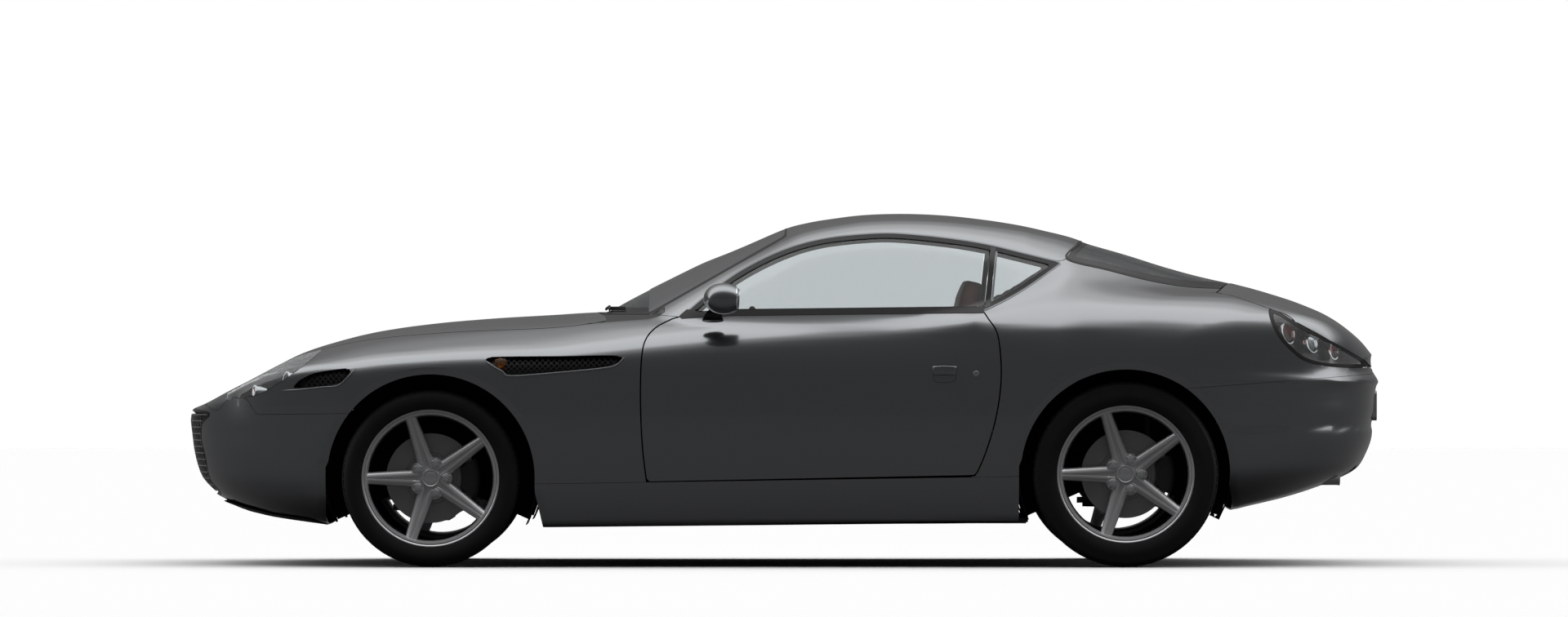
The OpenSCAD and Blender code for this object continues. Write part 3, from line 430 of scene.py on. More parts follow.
# Outlines
def smoothLine(points, closed=False, steps=8):  # Catmull-Rom curve through points
    p = np.array(points, float)
    if closed:
        p = np.concatenate([p[-1:], p, p[:2]])
    else:
        p = np.concatenate([2 * p[:1] - p[1:2], p, 2 * p[-1:] - p[-2:-1]])
    u = np.linspace(0, 1, steps, endpoint=False)[None, :, None]
    a, b, c, d = p[:-3, None], p[1:-2, None], p[2:-1, None], p[3:, None]
    out = 0.5 * (2 * b + (c - a) * u + (2 * a - 5 * b + 4 * c - d) * u**2 + (3 * b - a - 3 * c + d) * u**3)
    out = out.reshape(-1, p.shape[1])
    return out if closed else np.concatenate([out, p[-2:-1]])


def insideOf(q, outline):  # signed distance of points q to a closed outline, below zero inside
    best = np.full(len(q), 1e18)
    odd = np.zeros(len(q), bool)
    outline = np.asarray(outline, float)
    for a, b in zip(outline, np.roll(outline, -1, axis=0)):
        e = b - a
        w = q - a
        h = np.clip((w @ e) / max(e @ e, 1e-9), 0, 1)
        r = w - h[:, None] * e
        best = np.minimum(best, (r * r).sum(1))
        crosses = (a[1] > q[:, 1]) != (b[1] > q[:, 1])
        if a[1] != b[1]:
            odd ^= crosses & (q[:, 0] < (b[0] - a[0]) * (q[:, 1] - a[1]) / (b[1] - a[1]) + a[0])
    return np.sqrt(best) * np.where(odd, -1, 1)


def sideView(p):
    return p[:, [0, 2]]


def topView(p):
    return np.stack([p[:, 0], np.abs(p[:, 1])], -1)


wheelsAt = {"x": [-1300, 1256], "z": [327, 342], "track": [768, 778], "archR": [384, 387], "rimR": 254}
doorOutline = np.concatenate([
    smoothLine([[-413, 911], [-469, 881], [-506, 838], [-521, 770], [-525, 620], [-518, 446], [-503, 316]]),
    smoothLine([[703, 340], [738, 421], [775, 546], [794, 670], [794, 770], [781, 862], [750, 912],
                [734, 937]]),
    smoothLine([[732, 941], [-180, 931], [-382, 920]])])
windowOutline = np.concatenate([
    smoothLine([[-382, 920], [-282, 1006], [-158, 1094], [-8, 1168], [141, 1211], [315, 1230], [439, 1230],
                [625, 1211], [757, 1189], [874, 1161], [1012, 1127]]),
    smoothLine([[1028, 1120], [970, 1079], [901, 1031], [826, 986], [766, 956], [732, 941]]),
    smoothLine([[700, 941], [-180, 931]])])
screenOutline = np.array([[-760, 931], [-494, 931], [10, 1219], [14, 1500], [-760, 1500]])
rearScreenOutline = np.concatenate([
    [[1112, 1500], [1112, 1215]],
    smoothLine([[1104, 1207], [1042, 1137], [1195, 1094], [1370, 1051], [1522, 1030], [1700, 1026]]),
    [[1800, 1020], [1800, 1500]]])
bumperOutline = np.concatenate([
    [[-2400, 900], [-2144, 900], [-2144, 592]],
    smoothLine([[-2143, 592], [-2097, 574], [-2057, 612], [-1991, 619], [-1950, 568], [-1910, 561],
                [-1627, 565]]),
    [[-1500, 565], [-1500, -200], [-2400, -200]]])
tailSeam = [[1450, 655], [2184, 709], [2400, 724]]
rearBumperOutline = np.array(tailSeam + [[2400, -200], [1450, -200]])
sillOutline = np.array([[-1100, 303], [1100, 337], [1100, -100], [-1100, -100]])
lampOutline = np.concatenate([
    smoothLine([[-2060, 611], [-1991, 622], [-1931, 638], [-1892, 660], [-1821, 704], [-1751, 758],
                [-1688, 818]]),
    [[-1688, 1200], [-2060, 1200]]])
tailLampOutline = smoothLine([
    [1790, 950], [1793, 906], [1822, 848], [1868, 797], [1925, 757], [2023, 737], [2163, 735], [2150, 759],
    [2092, 792], [2045, 820], [1995, 846], [1940, 872], [1880, 905], [1830, 936]], closed=True)
bonnetHalf = np.concatenate([
    smoothLine([[-2141, -150], [-2141, 150], [-2128, 320], [-2070, 455], [-1950, 512], [-1820, 560],
                [-1690, 590],
                [-1300, 635], [-760, 655]]),
    smoothLine([[-655, 634], [-680, 330], [-702, 0], [-700, -150]])])
lidHalf = np.concatenate([
    smoothLine([[1692, -150], [1692, 0], [1657, 300], [1599, 590]]),
    smoothLine([[1612, 612], [1700, 680], [1795, 716], [1900, 745], [2000, 850]]),
    [[2400, 900], [2400, -150]]])
lidEdge = np.array([[1560, 940], [1795, 915], [1893, 901], [2152, 761], [2185, 733], [2400, 733],
                    [2400, 1500], [1560, 1500]])
mouthOutline = smoothLine([
    [-480, 570], [-432, 520], [-412, 466], [-425, 400], [-395, 320], [-340, 262], [0, 252], [340, 262],
    [395, 320], [425, 400], [412, 466], [432, 520], [480, 570], [0, 582]], closed=True)


def archDistance(p, grow=0.0):  # below zero inside either wheel arch, seen from the side
    best = np.full(len(p), 1e9)
    for i in (0, 1):
        x, z, r = p[:, 0] - wheelsAt["x"][i], p[:, 2] - wheelsAt["z"][i], wheelsAt["archR"][i]
        circle = np.hypot(x, z) - r
        front = r + 6
        # Below the axle the front leg is upright and the rear leg runs down and back.
        behind = r - 12 + np.maximum(-z, 0) * 0.23
        legs = np.maximum(np.maximum(-x - front, x - behind), z - 40)
        best = np.minimum(best, np.minimum(circle, legs))
    return best - grow


def sideRegion(outline, grow=0.0):
    return lambda p: insideOf(sideView(p), outline) - grow


def topRegion(outline, grow=0.0):
    return lambda p: insideOf(topView(p), outline) - grow


def lidRegion(p, grow=0.0):
    return np.maximum(insideOf(topView(p), lidHalf), insideOf(sideView(p), lidEdge)) - grow


# Materials
def newMaterial(name, color, metallic=0.0, roughness=0.5, coat=0.0, coatRoughness=0.03, specular=0.5,
                transmission=0.0, ior=1.45):
    m = bpy.data.materials.new(name)
    m.use_nodes = True
    b = m.node_tree.nodes["Principled BSDF"]
    b.inputs["Base Color"].default_value = (*color, 1)
    b.inputs["Metallic"].default_value = metallic
    b.inputs["Roughness"].default_value = roughness
    b.inputs["Coat Weight"].default_value = coat
    b.inputs["Coat Roughness"].default_value = coatRoughness
    b.inputs["Specular IOR Level"].default_value = specular
    b.inputs["Transmission Weight"].default_value = transmission
    b.inputs["IOR"].default_value = ior
    return m, m.node_tree, b


def noiseOn(tree, scale, detail=3.0, roughness=0.5, stretch=None):  # noise over Object coordinates
    coords = tree.nodes.new("ShaderNodeTexCoord")
    noise = tree.nodes.new("ShaderNodeTexNoise")
    noise.inputs["Scale"].default_value = scale
    noise.inputs["Detail"].default_value = detail
    noise.inputs["Roughness"].default_value = roughness
    source = coords.outputs["Object"]
    if stretch:
        mapping = tree.nodes.new("ShaderNodeMapping")
        mapping.inputs["Scale"].default_value = stretch
        tree.links.new(source, mapping.inputs["Vector"])
        source = mapping.outputs["Vector"]
    tree.links.new(source, noise.inputs["Vector"])
    return noise.outputs["Fac"]


def rampOf(tree, value, low, high, fromLow=0.0, fromHigh=1.0):  # value carried from one range into another
    node = tree.nodes.new("ShaderNodeMapRange")
    node.inputs["From Min"].default_value = fromLow
    node.inputs["From Max"].default_value = fromHigh
    node.inputs["To Min"].default_value = low
    node.inputs["To Max"].default_value = high
    tree.links.new(value, node.inputs["Value"])
    return node.outputs["Result"]


def colorBetween(tree, value, dark, light):
    ramp = tree.nodes.new("ShaderNodeValToRGB")
    ramp.color_ramp.elements[0].color = (*dark, 1)
    ramp.color_ramp.elements[1].color = (*light, 1)
    tree.links.new(value, ramp.inputs["Fac"])
    return ramp.outputs["Color"]


def bumpOf(tree, shader, height, distance, strength=1.0):
    bump = tree.nodes.new("ShaderNodeBump")
    bump.inputs["Distance"].default_value = distance
    bump.inputs["Strength"].default_value = strength
    tree.links.new(height, bump.inputs["Height"])
    tree.links.new(bump.outputs["Normal"], shader.inputs["Normal"])


def paintMaterial():  # dark grey metallic under clear coat, its flakes seen as a fine change of tone
    m, tree, b = newMaterial("gunmetalPaint", (0.2, 0.208, 0.216), metallic=0.9, roughness=0.22, coat=1.0,
                             coatRoughness=0.02)
    flakes = noiseOn(tree, 900, 2, 0.7)
    tree.links.new(colorBetween(tree, flakes, (0.175, 0.182, 0.19), (0.225, 0.234, 0.243)),
                   b.inputs["Base Color"])
    tree.links.new(rampOf(tree, noiseOn(tree, 3, 4), 0.19, 0.25), b.inputs["Roughness"])
    return m


def rubberMaterial():
    m, tree, b = newMaterial("tyreRubber", (0.018, 0.018, 0.019), roughness=0.75, specular=0.35)
    grain = noiseOn(tree, 260, 4, 0.6)
    tree.links.new(colorBetween(tree, grain, (0.012, 0.012, 0.013), (0.026, 0.026, 0.027)),
                   b.inputs["Base Color"])
    tree.links.new(rampOf(tree, noiseOn(tree, 12, 3), 0.62, 0.85), b.inputs["Roughness"])
    bumpOf(tree, b, grain, 0.0004, 0.5)
    return m


def plasticMaterial(name, color, roughness, grain=400, depth=0.0002):
    m, tree, b = newMaterial(name, color, roughness=roughness)
    fine = noiseOn(tree, grain, 3, 0.6)
    dark = tuple(c * 0.75 for c in color)
    light = tuple(c * 1.3 for c in color)
    tree.links.new(colorBetween(tree, fine, dark, light), b.inputs["Base Color"])
    tree.links.new(rampOf(tree, noiseOn(tree, 9, 3), roughness - 0.06, roughness + 0.08),
                   b.inputs["Roughness"])
    bumpOf(tree, b, fine, depth, 0.6)
    return m


# bare metal, with smears and fine lines
def metalMaterial(name, color, low, high, scale=40, stretch=None, metallic=1.0):
    m, tree, b = newMaterial(name, color, metallic=metallic, roughness=low)
    smears = noiseOn(tree, scale, 5, 0.6, stretch)
    tree.links.new(rampOf(tree, smears, low, high, 0.3, 0.7), b.inputs["Roughness"])
    dark = tuple(c * 0.88 for c in color)
    tree.links.new(colorBetween(tree, noiseOn(tree, 6, 3), dark, color), b.inputs["Base Color"])
    return m


def leatherMaterial(name, color):
    m, tree, b = newMaterial(name, color, roughness=0.5)
    coords = tree.nodes.new("ShaderNodeTexCoord")
    cells = tree.nodes.new("ShaderNodeTexVoronoi")
    cells.inputs["Scale"].default_value = 420
    tree.links.new(coords.outputs["Object"], cells.inputs["Vector"])
    dark = tuple(c * 0.6 for c in color)
    light = tuple(c * 1.25 for c in color)
    tree.links.new(colorBetween(tree, noiseOn(tree, 14, 5), dark, light), b.inputs["Base Color"])
    tree.links.new(rampOf(tree, noiseOn(tree, 30, 4), 0.42, 0.62), b.inputs["Roughness"])
    bumpOf(tree, b, cells.outputs["Distance"], 0.0006, 0.5)
    return m


def glassMaterial(name, tint, roughness=0.0):
    m, tree, b = newMaterial(name, tint, roughness=roughness, transmission=1.0, ior=1.45)
    tree.links.new(rampOf(tree, noiseOn(tree, 5, 3), roughness, roughness + 0.015), b.inputs["Roughness"])
    return m


materials = {
    "paint": paintMaterial(),
    "rubber": rubberMaterial(),
    "seal": plasticMaterial("rubberSeal", (0.012, 0.012, 0.013), 0.55),
    "plastic": plasticMaterial("blackPlastic", (0.02, 0.02, 0.021), 0.5),
    "gloss": plasticMaterial("glossBlack", (0.008, 0.008, 0.009), 0.18, 300, 0.00002),
    "lining": plasticMaterial("darkLining", (0.03, 0.03, 0.031), 0.8, 160, 0.0005),
    "headliner": plasticMaterial("headliner", (0.09, 0.085, 0.08), 0.85, 700, 0.0004),
    "darkPaint": plasticMaterial("underbodyPaint", (0.03, 0.031, 0.032), 0.42, 220, 0.0003),
    "chrome": metalMaterial("polishedMetal", (0.86, 0.87, 0.88), 0.04, 0.1),
    "alloy": metalMaterial("brightAlloy", (0.9, 0.9, 0.92), 0.1, 0.2, metallic=0.35),
    "satin": metalMaterial("satinMetal", (0.62, 0.63, 0.64), 0.22, 0.36, 60),
    "cast": metalMaterial("castMetal", (0.36, 0.36, 0.37), 0.4, 0.6, 90),
    "disc": metalMaterial("brakeDisc", (0.5, 0.5, 0.51), 0.35, 0.5, 40, (1, 1, 12), 0.2),
    "barrel": metalMaterial("darkBarrel", (0.16, 0.165, 0.17), 0.25, 0.4, 30),
    "steel": metalMaterial("exhaustSteel", (0.7, 0.69, 0.68), 0.12, 0.25, 50),
    "leather": leatherMaterial("brownLeather", (0.16, 0.055, 0.024)),
    "darkLeather": leatherMaterial("blackLeather", (0.022, 0.02, 0.019)),
    "glass": glassMaterial("greyGlass", (0.72, 0.75, 0.76)),
    "darkGlass": glassMaterial("screenGlass", (0.15, 0.16, 0.165)),
    "lampGlass": glassMaterial("lampGlass", (0.9, 0.92, 0.93)),
    "redLens": glassMaterial("redLens", (0.45, 0.012, 0.012), 0.03),
    "amberLens": glassMaterial("amberLens", (0.9, 0.3, 0.03), 0.05),
    "whitePlate": plasticMaterial("whitePlate", (0.7, 0.7, 0.69), 0.35, 90, 0.00005)}
print("materials made:", len(materials))


# Skin panels
skin = {"pitch": 15, "turns": 232, "s0": -2770, "s1": 2770, "wall": 3.0, "fixedGap": 1.3, "movingGap": 2.6,
        "lipWidth": 25, "lipTurn": 7}


# left half of the form as a grid of rays: s along the car, t from straight down to up
def bodySkin(level=0.0):
    s = np.linspace(skin["s0"], skin["s1"], round((skin["s1"] - skin["s0"]) / skin["pitch"]) + 1)
    t = np.linspace(-math.pi / 2, math.pi / 2, skin["turns"] // 2 + 1)
    p = castRays(s[:, None], t[None, :], level)
    p[:, 0, 1] = 0
    p[:, -1, 1] = 0
    v, f = merged(p.reshape(-1, 3), gridFaces(len(s), len(t)))
    a = v[f]
    n = np.cross(a[:, 1] - a[:, 0], a[:, 2] - a[:, 0])
    outward = (n * normalAt(a.mean(1))).sum(1)
    f[outward < 0] = f[outward < 0][:, ::-1]
    return v, f


skinV, skinF = bodySkin()
print("skin rays cast:", len(skinV), "points")


# the part of the skin below zero in every region, cut by one after another
def cutSkin(regions, source=None):
    v, f = source or (skinV, skinF)
    for region in regions:
        v, f = clipped(v, f, region(v))
    return v, f


def bothHalves(v, f):  # adds the mirrored right half and joins the two on the middle line
    w = v * np.array([1, -1, 1])
    return merged(np.concatenate([v, w]), np.concatenate([f, f[:, ::-1] + len(v)]))


def panelPart(v, f, depth=None, shape=None):
    n = normalAt(v)
    if shape is not None:
        v = shape(v, n)
    return thickened(v, f, n, skin["wall"] if depth is None else depth)


def skinObject(name, part, material, body, slot, *replaced):
    v, f, n = part
    return place(makeObject(name, v, f, materials[material], n), body, slot, *replaced)


def allOf(*regions):
    flat = []
    for region in regions:
        flat += region if isinstance(region, list) else [region]
    return flat


def notIn(region, gap=0.0):
    return lambda p: gap - region(p)


fg, mg = skin["fixedGap"], skin["movingGap"]
doorR, windowR = sideRegion(doorOutline), sideRegion(windowOutline)
screenR, rearScreenR = sideRegion(screenOutline), sideRegion(rearScreenOutline)
bumperR, rearBumperR, sillR = sideRegion(bumperOutline), sideRegion(rearBumperOutline), sideRegion(sillOutline)
lampBelowR, tailLampR, bonnetR = sideRegion(lampOutline), sideRegion(tailLampOutline), topRegion(bonnetHalf)


def lampR(p):
    return np.maximum(lampBelowR(p), -bonnetR(p))


def mouthR(p):
    return np.maximum(insideOf(p[:, [1, 2]], mouthOutline), p[:, 0] + 1990)


cowlBox = {"front": -760, "rear": -440, "low": 850, "half": 655}


def cowlR(p):
    return np.maximum.reduce([-bonnetR(p), p[:, 0] - cowlBox["rear"], cowlBox["front"] - p[:, 0],
                              cowlBox["low"] - p[:, 2], np.abs(p[:, 1]) - cowlBox["half"]])


def roofR(p):  # above the side windows and between the two screens
    x, z = p[:, 0], p[:, 2]
    line = np.interp(x, [-560, -494, -382, -282, -158, -8, 141, 315, 439, 625, 757, 874, 1012, 1038, 1104,
                         1112],
                     [905, 931, 922, 1008, 1096, 1170, 1213, 1232, 1232, 1213, 1191, 1163, 1129, 1131, 1215,
                      1400])
    return np.maximum.reduce([(line - z) * 0.8, x - 1113, -500 - x])


pipeWay = {"y": (298, 382), "z": 330, "r": 41, "behind": 1900}


def pipeHoles(p):  # ways out for the four tail pipes
    y = np.minimum.reduce([np.abs(np.abs(p[:, 1]) - at) for at in pipeWay["y"]])
    return np.where(p[:, 0] > pipeWay["behind"], pipeWay["r"] - np.hypot(y, p[:, 2] - pipeWay["z"]), -100)


def frontOfDoor(p):
    return p[:, 0] + 330


def behindDoor(p):
    return 690 - p[:, 0]


panelRegions = {
    "bonnet": allOf(bonnetR, lambda p: 560 - p[:, 2]),
    "wing": allOf(frontOfDoor, lambda p: archDistance(p) * -1, notIn(bumperR, fg), notIn(sillR, fg),
                  notIn(bonnetR, mg * 2), notIn(doorR, mg * 2), notIn(screenR, fg), notIn(cowlR, fg),
                  notIn(lampR, fg), notIn(roofR, fg), lambda p: 290 - p[:, 2],
                  lambda p: -2141 - p[:, 0]),
    "bumper": allOf(bumperR, lambda p: -archDistance(p), notIn(mouthR),
                    notIn(lambda p: np.maximum(bonnetR(p), 560 - p[:, 2]), mg),
                    lambda p: (p[:, 0] + 1590)),
    "rearWing": allOf(behindDoor, lambda p: -archDistance(p), notIn(rearBumperR, fg), notIn(sillR, fg),
                      notIn(lidRegion, mg * 2), notIn(doorR, mg * 2), notIn(rearScreenR, fg),
                      notIn(windowR, fg),
                      notIn(tailLampR, fg), notIn(roofR, fg)),
    "rearBumper": allOf(rearBumperR, pipeHoles, lambda p: -archDistance(p), notIn(lidRegion, mg),
                        notIn(tailLampR, fg)),
    "lid": [topRegion(lidHalf), sideRegion(lidEdge)],
    "sill": allOf(sillR, lambda p: -archDistance(p), lambda p: 640 - np.abs(p[:, 1])),
    "door": allOf(doorR),
    "roof": [roofR]}


def archLipPart(region):  # the band next to the arch, turned inwards by a straight slope from its outer line
    width, turn = skin["lipWidth"], skin["lipTurn"]
    v, f = cutSkin(allOf(region, lambda p: archDistance(p) - width))
    n = normalAt(v)
    d = archDistance(v)
    away = np.zeros_like(v)
    for axis in (0, 2):
        step = np.zeros(3)
        step[axis] = 1.0
        away[:, axis] = (archDistance(v + step) - archDistance(v - step)) / 2
    low = ease(180, 240, v[:, 2])[:, None]  # The turn dies out where the panel curves under the car.
    v = v - n * low * (turn * (1 - np.clip(d / width, 0, 1)))[:, None]
    n2 = n - away * low * (turn / width)
    n2 /= np.linalg.norm(n2, axis=1, keepdims=True)
    return thickened(v, f, n2, 3 + 9 * low)


def beyondLip(region):
    return allOf(region, lambda p: skin["lipWidth"] - archDistance(p))


# Openings in the front wing, seen from the side
vents = {
    "intake": [[-1808, 660], [-1748, 707], [-1664, 726], [-1580, 732], [-1604, 707], [-1643, 674]],
    "side": [[-1095, 762], [-1082, 774], [-840, 777], [-587, 778], [-617, 750], [-662, 737], [-812, 722],
             [-1001, 708], [-1032, 725], [-1070, 747]],
    "recess": 26}
intakeR = sideRegion(smoothLine(vents["intake"], closed=True, steps=4))
sideVentR = sideRegion(smoothLine(vents["side"], closed=True, steps=4))
panelRegions["wing"] = allOf(panelRegions["wing"], notIn(intakeR), notIn(sideVentR))


def skinPatch(region, sink=0.0, depth=2.0):  # a closed sheet parallel to the skin, sink mm below it
    v, f = cutSkin(region)
    n = normalAt(v)
    return thickened(v - n * sink, f, n, depth)


def pairOf(name, part, material, bodies, slot, replaced=()):  # a left part and its mirror image
    for side, body in zip(("Left", "Right"), bodies):
        own = [r + "_" + side.lower() for r in replaced]
        skinObject(name + side, part if side == "Left" else mirroredPart(part), material, body, slot, *own)


fixedBodies = ("body", "body")
doorBodies = ("door_left", "door_right")


def withLips(regions, whole=False):  # a panel with its turned arch band, whole when it crosses the middle
    v, f = cutSkin(beyondLip(regions))
    lip = archLipPart(regions)
    if whole:
        return joined([panelPart(*bothHalves(v, f)), lip, mirroredPart(lip)])
    return joined([panelPart(v, f), lip])


skinObject("bonnetPanel", panelPart(*bothHalves(*cutSkin(panelRegions["bonnet"]))), "paint", "bonnet",
           "body_paint", "bonnet")
skinObject("bumperPanel", withLips(panelRegions["bumper"], True), "paint", "body", "body_paint",
           "front_bumper")
skinObject("rearBumperPanel", withLips(panelRegions["rearBumper"], True), "paint", "body", "body_paint",
           "rear_bumper")
skinObject("lidPanel", panelPart(*bothHalves(*cutSkin(panelRegions["lid"]))), "paint", "boot_lid",
           "body_paint", "boot_lid")
pairOf("frontWing", withLips(panelRegions["wing"]), "paint", fixedBodies, "body_paint", ["front_wing"])
pairOf("rearWing", withLips(panelRegions["rearWing"]), "paint", fixedBodies, "body_paint", ["rear_wing"])
sillPart = withLips(panelRegions["sill"])
skinObject("sillCoverLeft", sillPart, "paint", "body", "body_paint", "sills")
skinObject("sillCoverRight", mirroredPart(sillPart), "paint", "body", "body_paint")
v, f = bothHalves(*cutSkin([cowlR, notIn(screenR, fg)]))
skinObject("cowlPanel", panelPart(v, f), "plastic", "body", "black_plastic", "cowl")
print("panels cut")

# Vents, liners and lower trim
def wallOf(regions, deep, depth=0.5):  # a wall from the skin down along the edge of an opening
    v, f = cutSkin(regions)
    n = normalAt(v)
    edge = edgeLoops(f)
    count = len(v)
    side = np.concatenate([np.stack([edge[:, 0], edge[:, 1], edge[:, 1] + count], -1),
                           np.stack([edge[:, 0], edge[:, 1] + count, edge[:, 0] + count], -1)])
    used, back = np.unique(side, return_inverse=True)
    w, g = np.concatenate([v - n * depth, v - n * deep])[used], back.reshape(-1, 3)
    across = np.cross(w[g][:, 1] - w[g][:, 0], w[g][:, 2] - w[g][:, 0])
    mean = np.zeros_like(w)
    for k in range(3):
        np.add.at(mean, g[:, k], across)
    mean /= np.maximum(np.linalg.norm(mean, axis=1, keepdims=True), 1e-9)
    return thickened(w, g, mean, 1.5)


def skinAt(xz):  # points of the left flank over (x, z): y solved by halving
    xz = np.asarray(xz, float)
    low, high = np.zeros(len(xz)), np.full(len(xz), 1050.0)
    for _ in range(24):
        y = (low + high) / 2
        inside = formAt(np.stack([xz[:, 0], y, xz[:, 1]], -1)) < 0
        low, high = np.where(inside, y, low), np.where(inside, high, y)
    return np.stack([xz[:, 0], -(low + high) / 2, xz[:, 1]], -1)


def faceAt(yz, front=True):  # points of the nose or the tail over (y, z): x solved by halving
    yz = np.asarray(yz, float)
    out = np.full(len(yz), -2400.0 if front else 2400.0)
    inn = np.full(len(yz), -1500.0 if front else 1500.0)
    for _ in range(24):
        x = (out + inn) / 2
        inside = formAt(np.stack([x, yz[:, 0], yz[:, 1]], -1)) < 0
        inn, out = np.where(inside, x, inn), np.where(inside, out, x)
    return np.stack([(out + inn) / 2, yz[:, 0], yz[:, 1]], -1)


def barOn(p, half, thick, sink):  # a flat bar that follows points p of the skin, sink mm below it
    n = normalAt(p)
    t = np.gradient(p, axis=0)
    t /= np.maximum(np.linalg.norm(t, axis=1, keepdims=True), 1e-9)
    a = np.cross(n, t)
    q = np.array([(-half, -thick), (half, -thick), (half, 0), (-half, 0)])
    g = p[:, None] + a[:, None] * q[None, :, :1] + n[:, None] * (q[None, :, 1:2] - sink)
    return shellPart(g, limit=20)


def latticePart(outline, at, low, high, angles, pitch, half, thick, sink, onSkin):
    # straight bars at each angle, a pitch apart, over the box low..high, kept where they lie inside the outline
    parts = []
    low, high = np.array(low, float), np.array(high, float)
    centre, reach = (low + high) / 2, np.hypot(*(high - low)) / 2
    for angle in angles:
        along = np.array([math.cos(angle), math.sin(angle)])
        side = np.array([-along[1], along[0]])
        for k in np.arange(-reach, reach, pitch):
            line = centre + side * k + along * np.arange(-reach, reach, at)[:, None]
            keep = insideOf(line, outline) < -1
            starts = np.flatnonzero(np.diff(np.concatenate([[0], keep.astype(int), [0]])))
            for a, b in zip(starts[::2], starts[1::2]):
                if b - a > 2:
                    parts.append(barOn(onSkin(line[a:b]), half, thick, sink))
    return joined(parts)


for name, outline in (("intake", vents["intake"]), ("sideVent", vents["side"])):
    outline = smoothLine(outline, closed=True, steps=4)
    region = sideRegion(outline)
    pairOf(name + "Back", skinPatch([lambda p: region(p) - 1], vents["recess"], 2), "gloss", fixedBodies,
           "black_plastic")
    pairOf(name + "Wall", wallOf([region], vents["recess"] - 1), "gloss", fixedBodies, "black_plastic")
    mesh = latticePart(outline, 12, outline.min(0), outline.max(0), (math.radians(50), math.radians(130)),
                       16,
                       1.3, 2, 12, skinAt)
    pairOf(name + "Mesh", mesh, "plastic", fixedBodies, "black_plastic")


def stripOnSkin(xz, half, proud, sink=3.0):  # a rounded strip that follows the flank
    p = skinAt(xz)
    n = normalAt(p)
    t = np.gradient(p, axis=0)
    t /= np.linalg.norm(t, axis=1, keepdims=True)
    a = np.cross(n, t)
    fade = np.clip(np.minimum(np.arange(len(p)), np.arange(len(p))[::-1]) / 3, 0.15, 1)[:, None, None]
    q = np.array([(-half, -sink), (half, -sink), (half, proud * 0.3), (half * 0.5, proud),
                  (-half * 0.5, proud),
                  (-half, proud * 0.3)])
    g = p[:, None] + a[:, None] * q[None, :, :1] * fade + n[:, None] * q[None, :, 1:2] * fade
    return shellPart(g, limit=50)


lowerEdge = smoothLine([[-1098, 760], [-1075, 742], [-1036, 720], [-1001, 703], [-812, 717], [-662, 732],
                        [-614, 745], [-584, 776]], steps=6)
pairOf("sideVentStrip", stripOnSkin(lowerEdge, 3.2, 2.4), "paint", fixedBodies, "body_paint")
intakeEdge = smoothLine([[-1850, 650], [-1790, 652], [-1700, 662], [-1640, 668], [-1600, 702],
                         [-1574, 734]], steps=6)
pairOf("intakeStrip", stripOnSkin(intakeEdge, 2.8, 2.2), "paint", fixedBodies, "body_paint")
repeaterR = sideRegion(superOutline([-1068, 738], [-1014, 772], 2.0))
pairOf("repeater", skinPatch([repeaterR], 4, 8), "amberLens", fixedBodies, "lamp_glass")

# The beam inside each sill, level with its top edge and the floor
beam = {"front": [-885, 304], "rear": [850, 333], "inner": 770, "low": 172, "wall": 4}
x = np.linspace(beam["front"][0], beam["rear"][0], 48)
top = np.interp(x, [beam["front"][0], beam["rear"][0]], [beam["front"][1], beam["rear"][1]]) - 1
outTop, outLow = skinAt(np.stack([x, top], -1)), skinAt(np.stack([x, np.full(48, beam["low"] + 24.0)], -1))
outTop[:, 1] += beam["wall"]
outLow[:, 1] += beam["wall"] + 14
inTop, inLow = outTop.copy(), outLow.copy()
inTop[:, 1] = inLow[:, 1] = -beam["inner"]
inLow[:, 2] = beam["low"]
pairOf("sillBeam", shellPart(np.stack([outTop, inTop, inLow, outLow], 1), limit=30), "paint", fixedBodies,
       "body_paint")

# Liners of the wheel arches: a roof over each tyre with a back wall and two legs
linerWork = {"inner": [446, 506], "reach": [26, 205], "backReach": [-24, 204], "hole": 118, "step": 260,
             "wall": 3, "points": 41}


def linerPart(i):
    r = wheelsAt["archR"][i] + 5
    a = np.radians(np.linspace(-linerWork["reach"][0], linerWork["reach"][1], 61))
    x = wheelsAt["x"][i] + r * np.cos(a)
    z = wheelsAt["z"][i] + r * np.sin(a)
    wall = skinAt(np.stack([x, np.maximum(z, 170)], -1))[:, 1]
    outer = np.maximum(wall + 14, -905)
    inner = np.full(len(a), -float(linerWork["inner"][i]))
    radial = np.stack([np.cos(a), 0 * a, np.sin(a)], -1)
    p = np.stack([x, outer, z], -1)
    q = np.stack([x, inner, z], -1)
    rows = np.stack([p, q, q + radial * 3, p + radial * 3], 1)
    return shellPart(rows, limit=40)


for i, tag in ((0, "Front"), (1, "Rear")):
    replaced = ("arch_liners",) if i == 0 else ()
    part = linerPart(i)
    skinObject("liner" + tag + "Left", part, "lining", "body", "black_plastic", *replaced)
    skinObject("liner" + tag + "Right", mirroredPart(part), "lining", "body", "black_plastic")
    # Back wall with an opening for the axle and the arms
    c = np.array([wheelsAt["x"][i], wheelsAt["z"][i]])
    a = np.radians(np.linspace(*linerWork["backReach"], linerWork["points"]))
    y = np.full(len(a), -float(linerWork["inner"][i]))
    g = np.stack([np.stack([c[0] + radius * np.cos(a), y, c[1] + radius * np.sin(a)], -1)
                  for radius in (linerWork["hole"], linerWork["step"], wheelsAt["archR"][i] + 4)], 1)
    back = g.copy()
    back[..., 1] += linerWork["wall"]
    ring = np.concatenate([g, back[:, ::-1]], 1)
    pairOf("linerBack" + tag, shellPart(ring, limit=20), "lining", fixedBodies, "black_plastic")

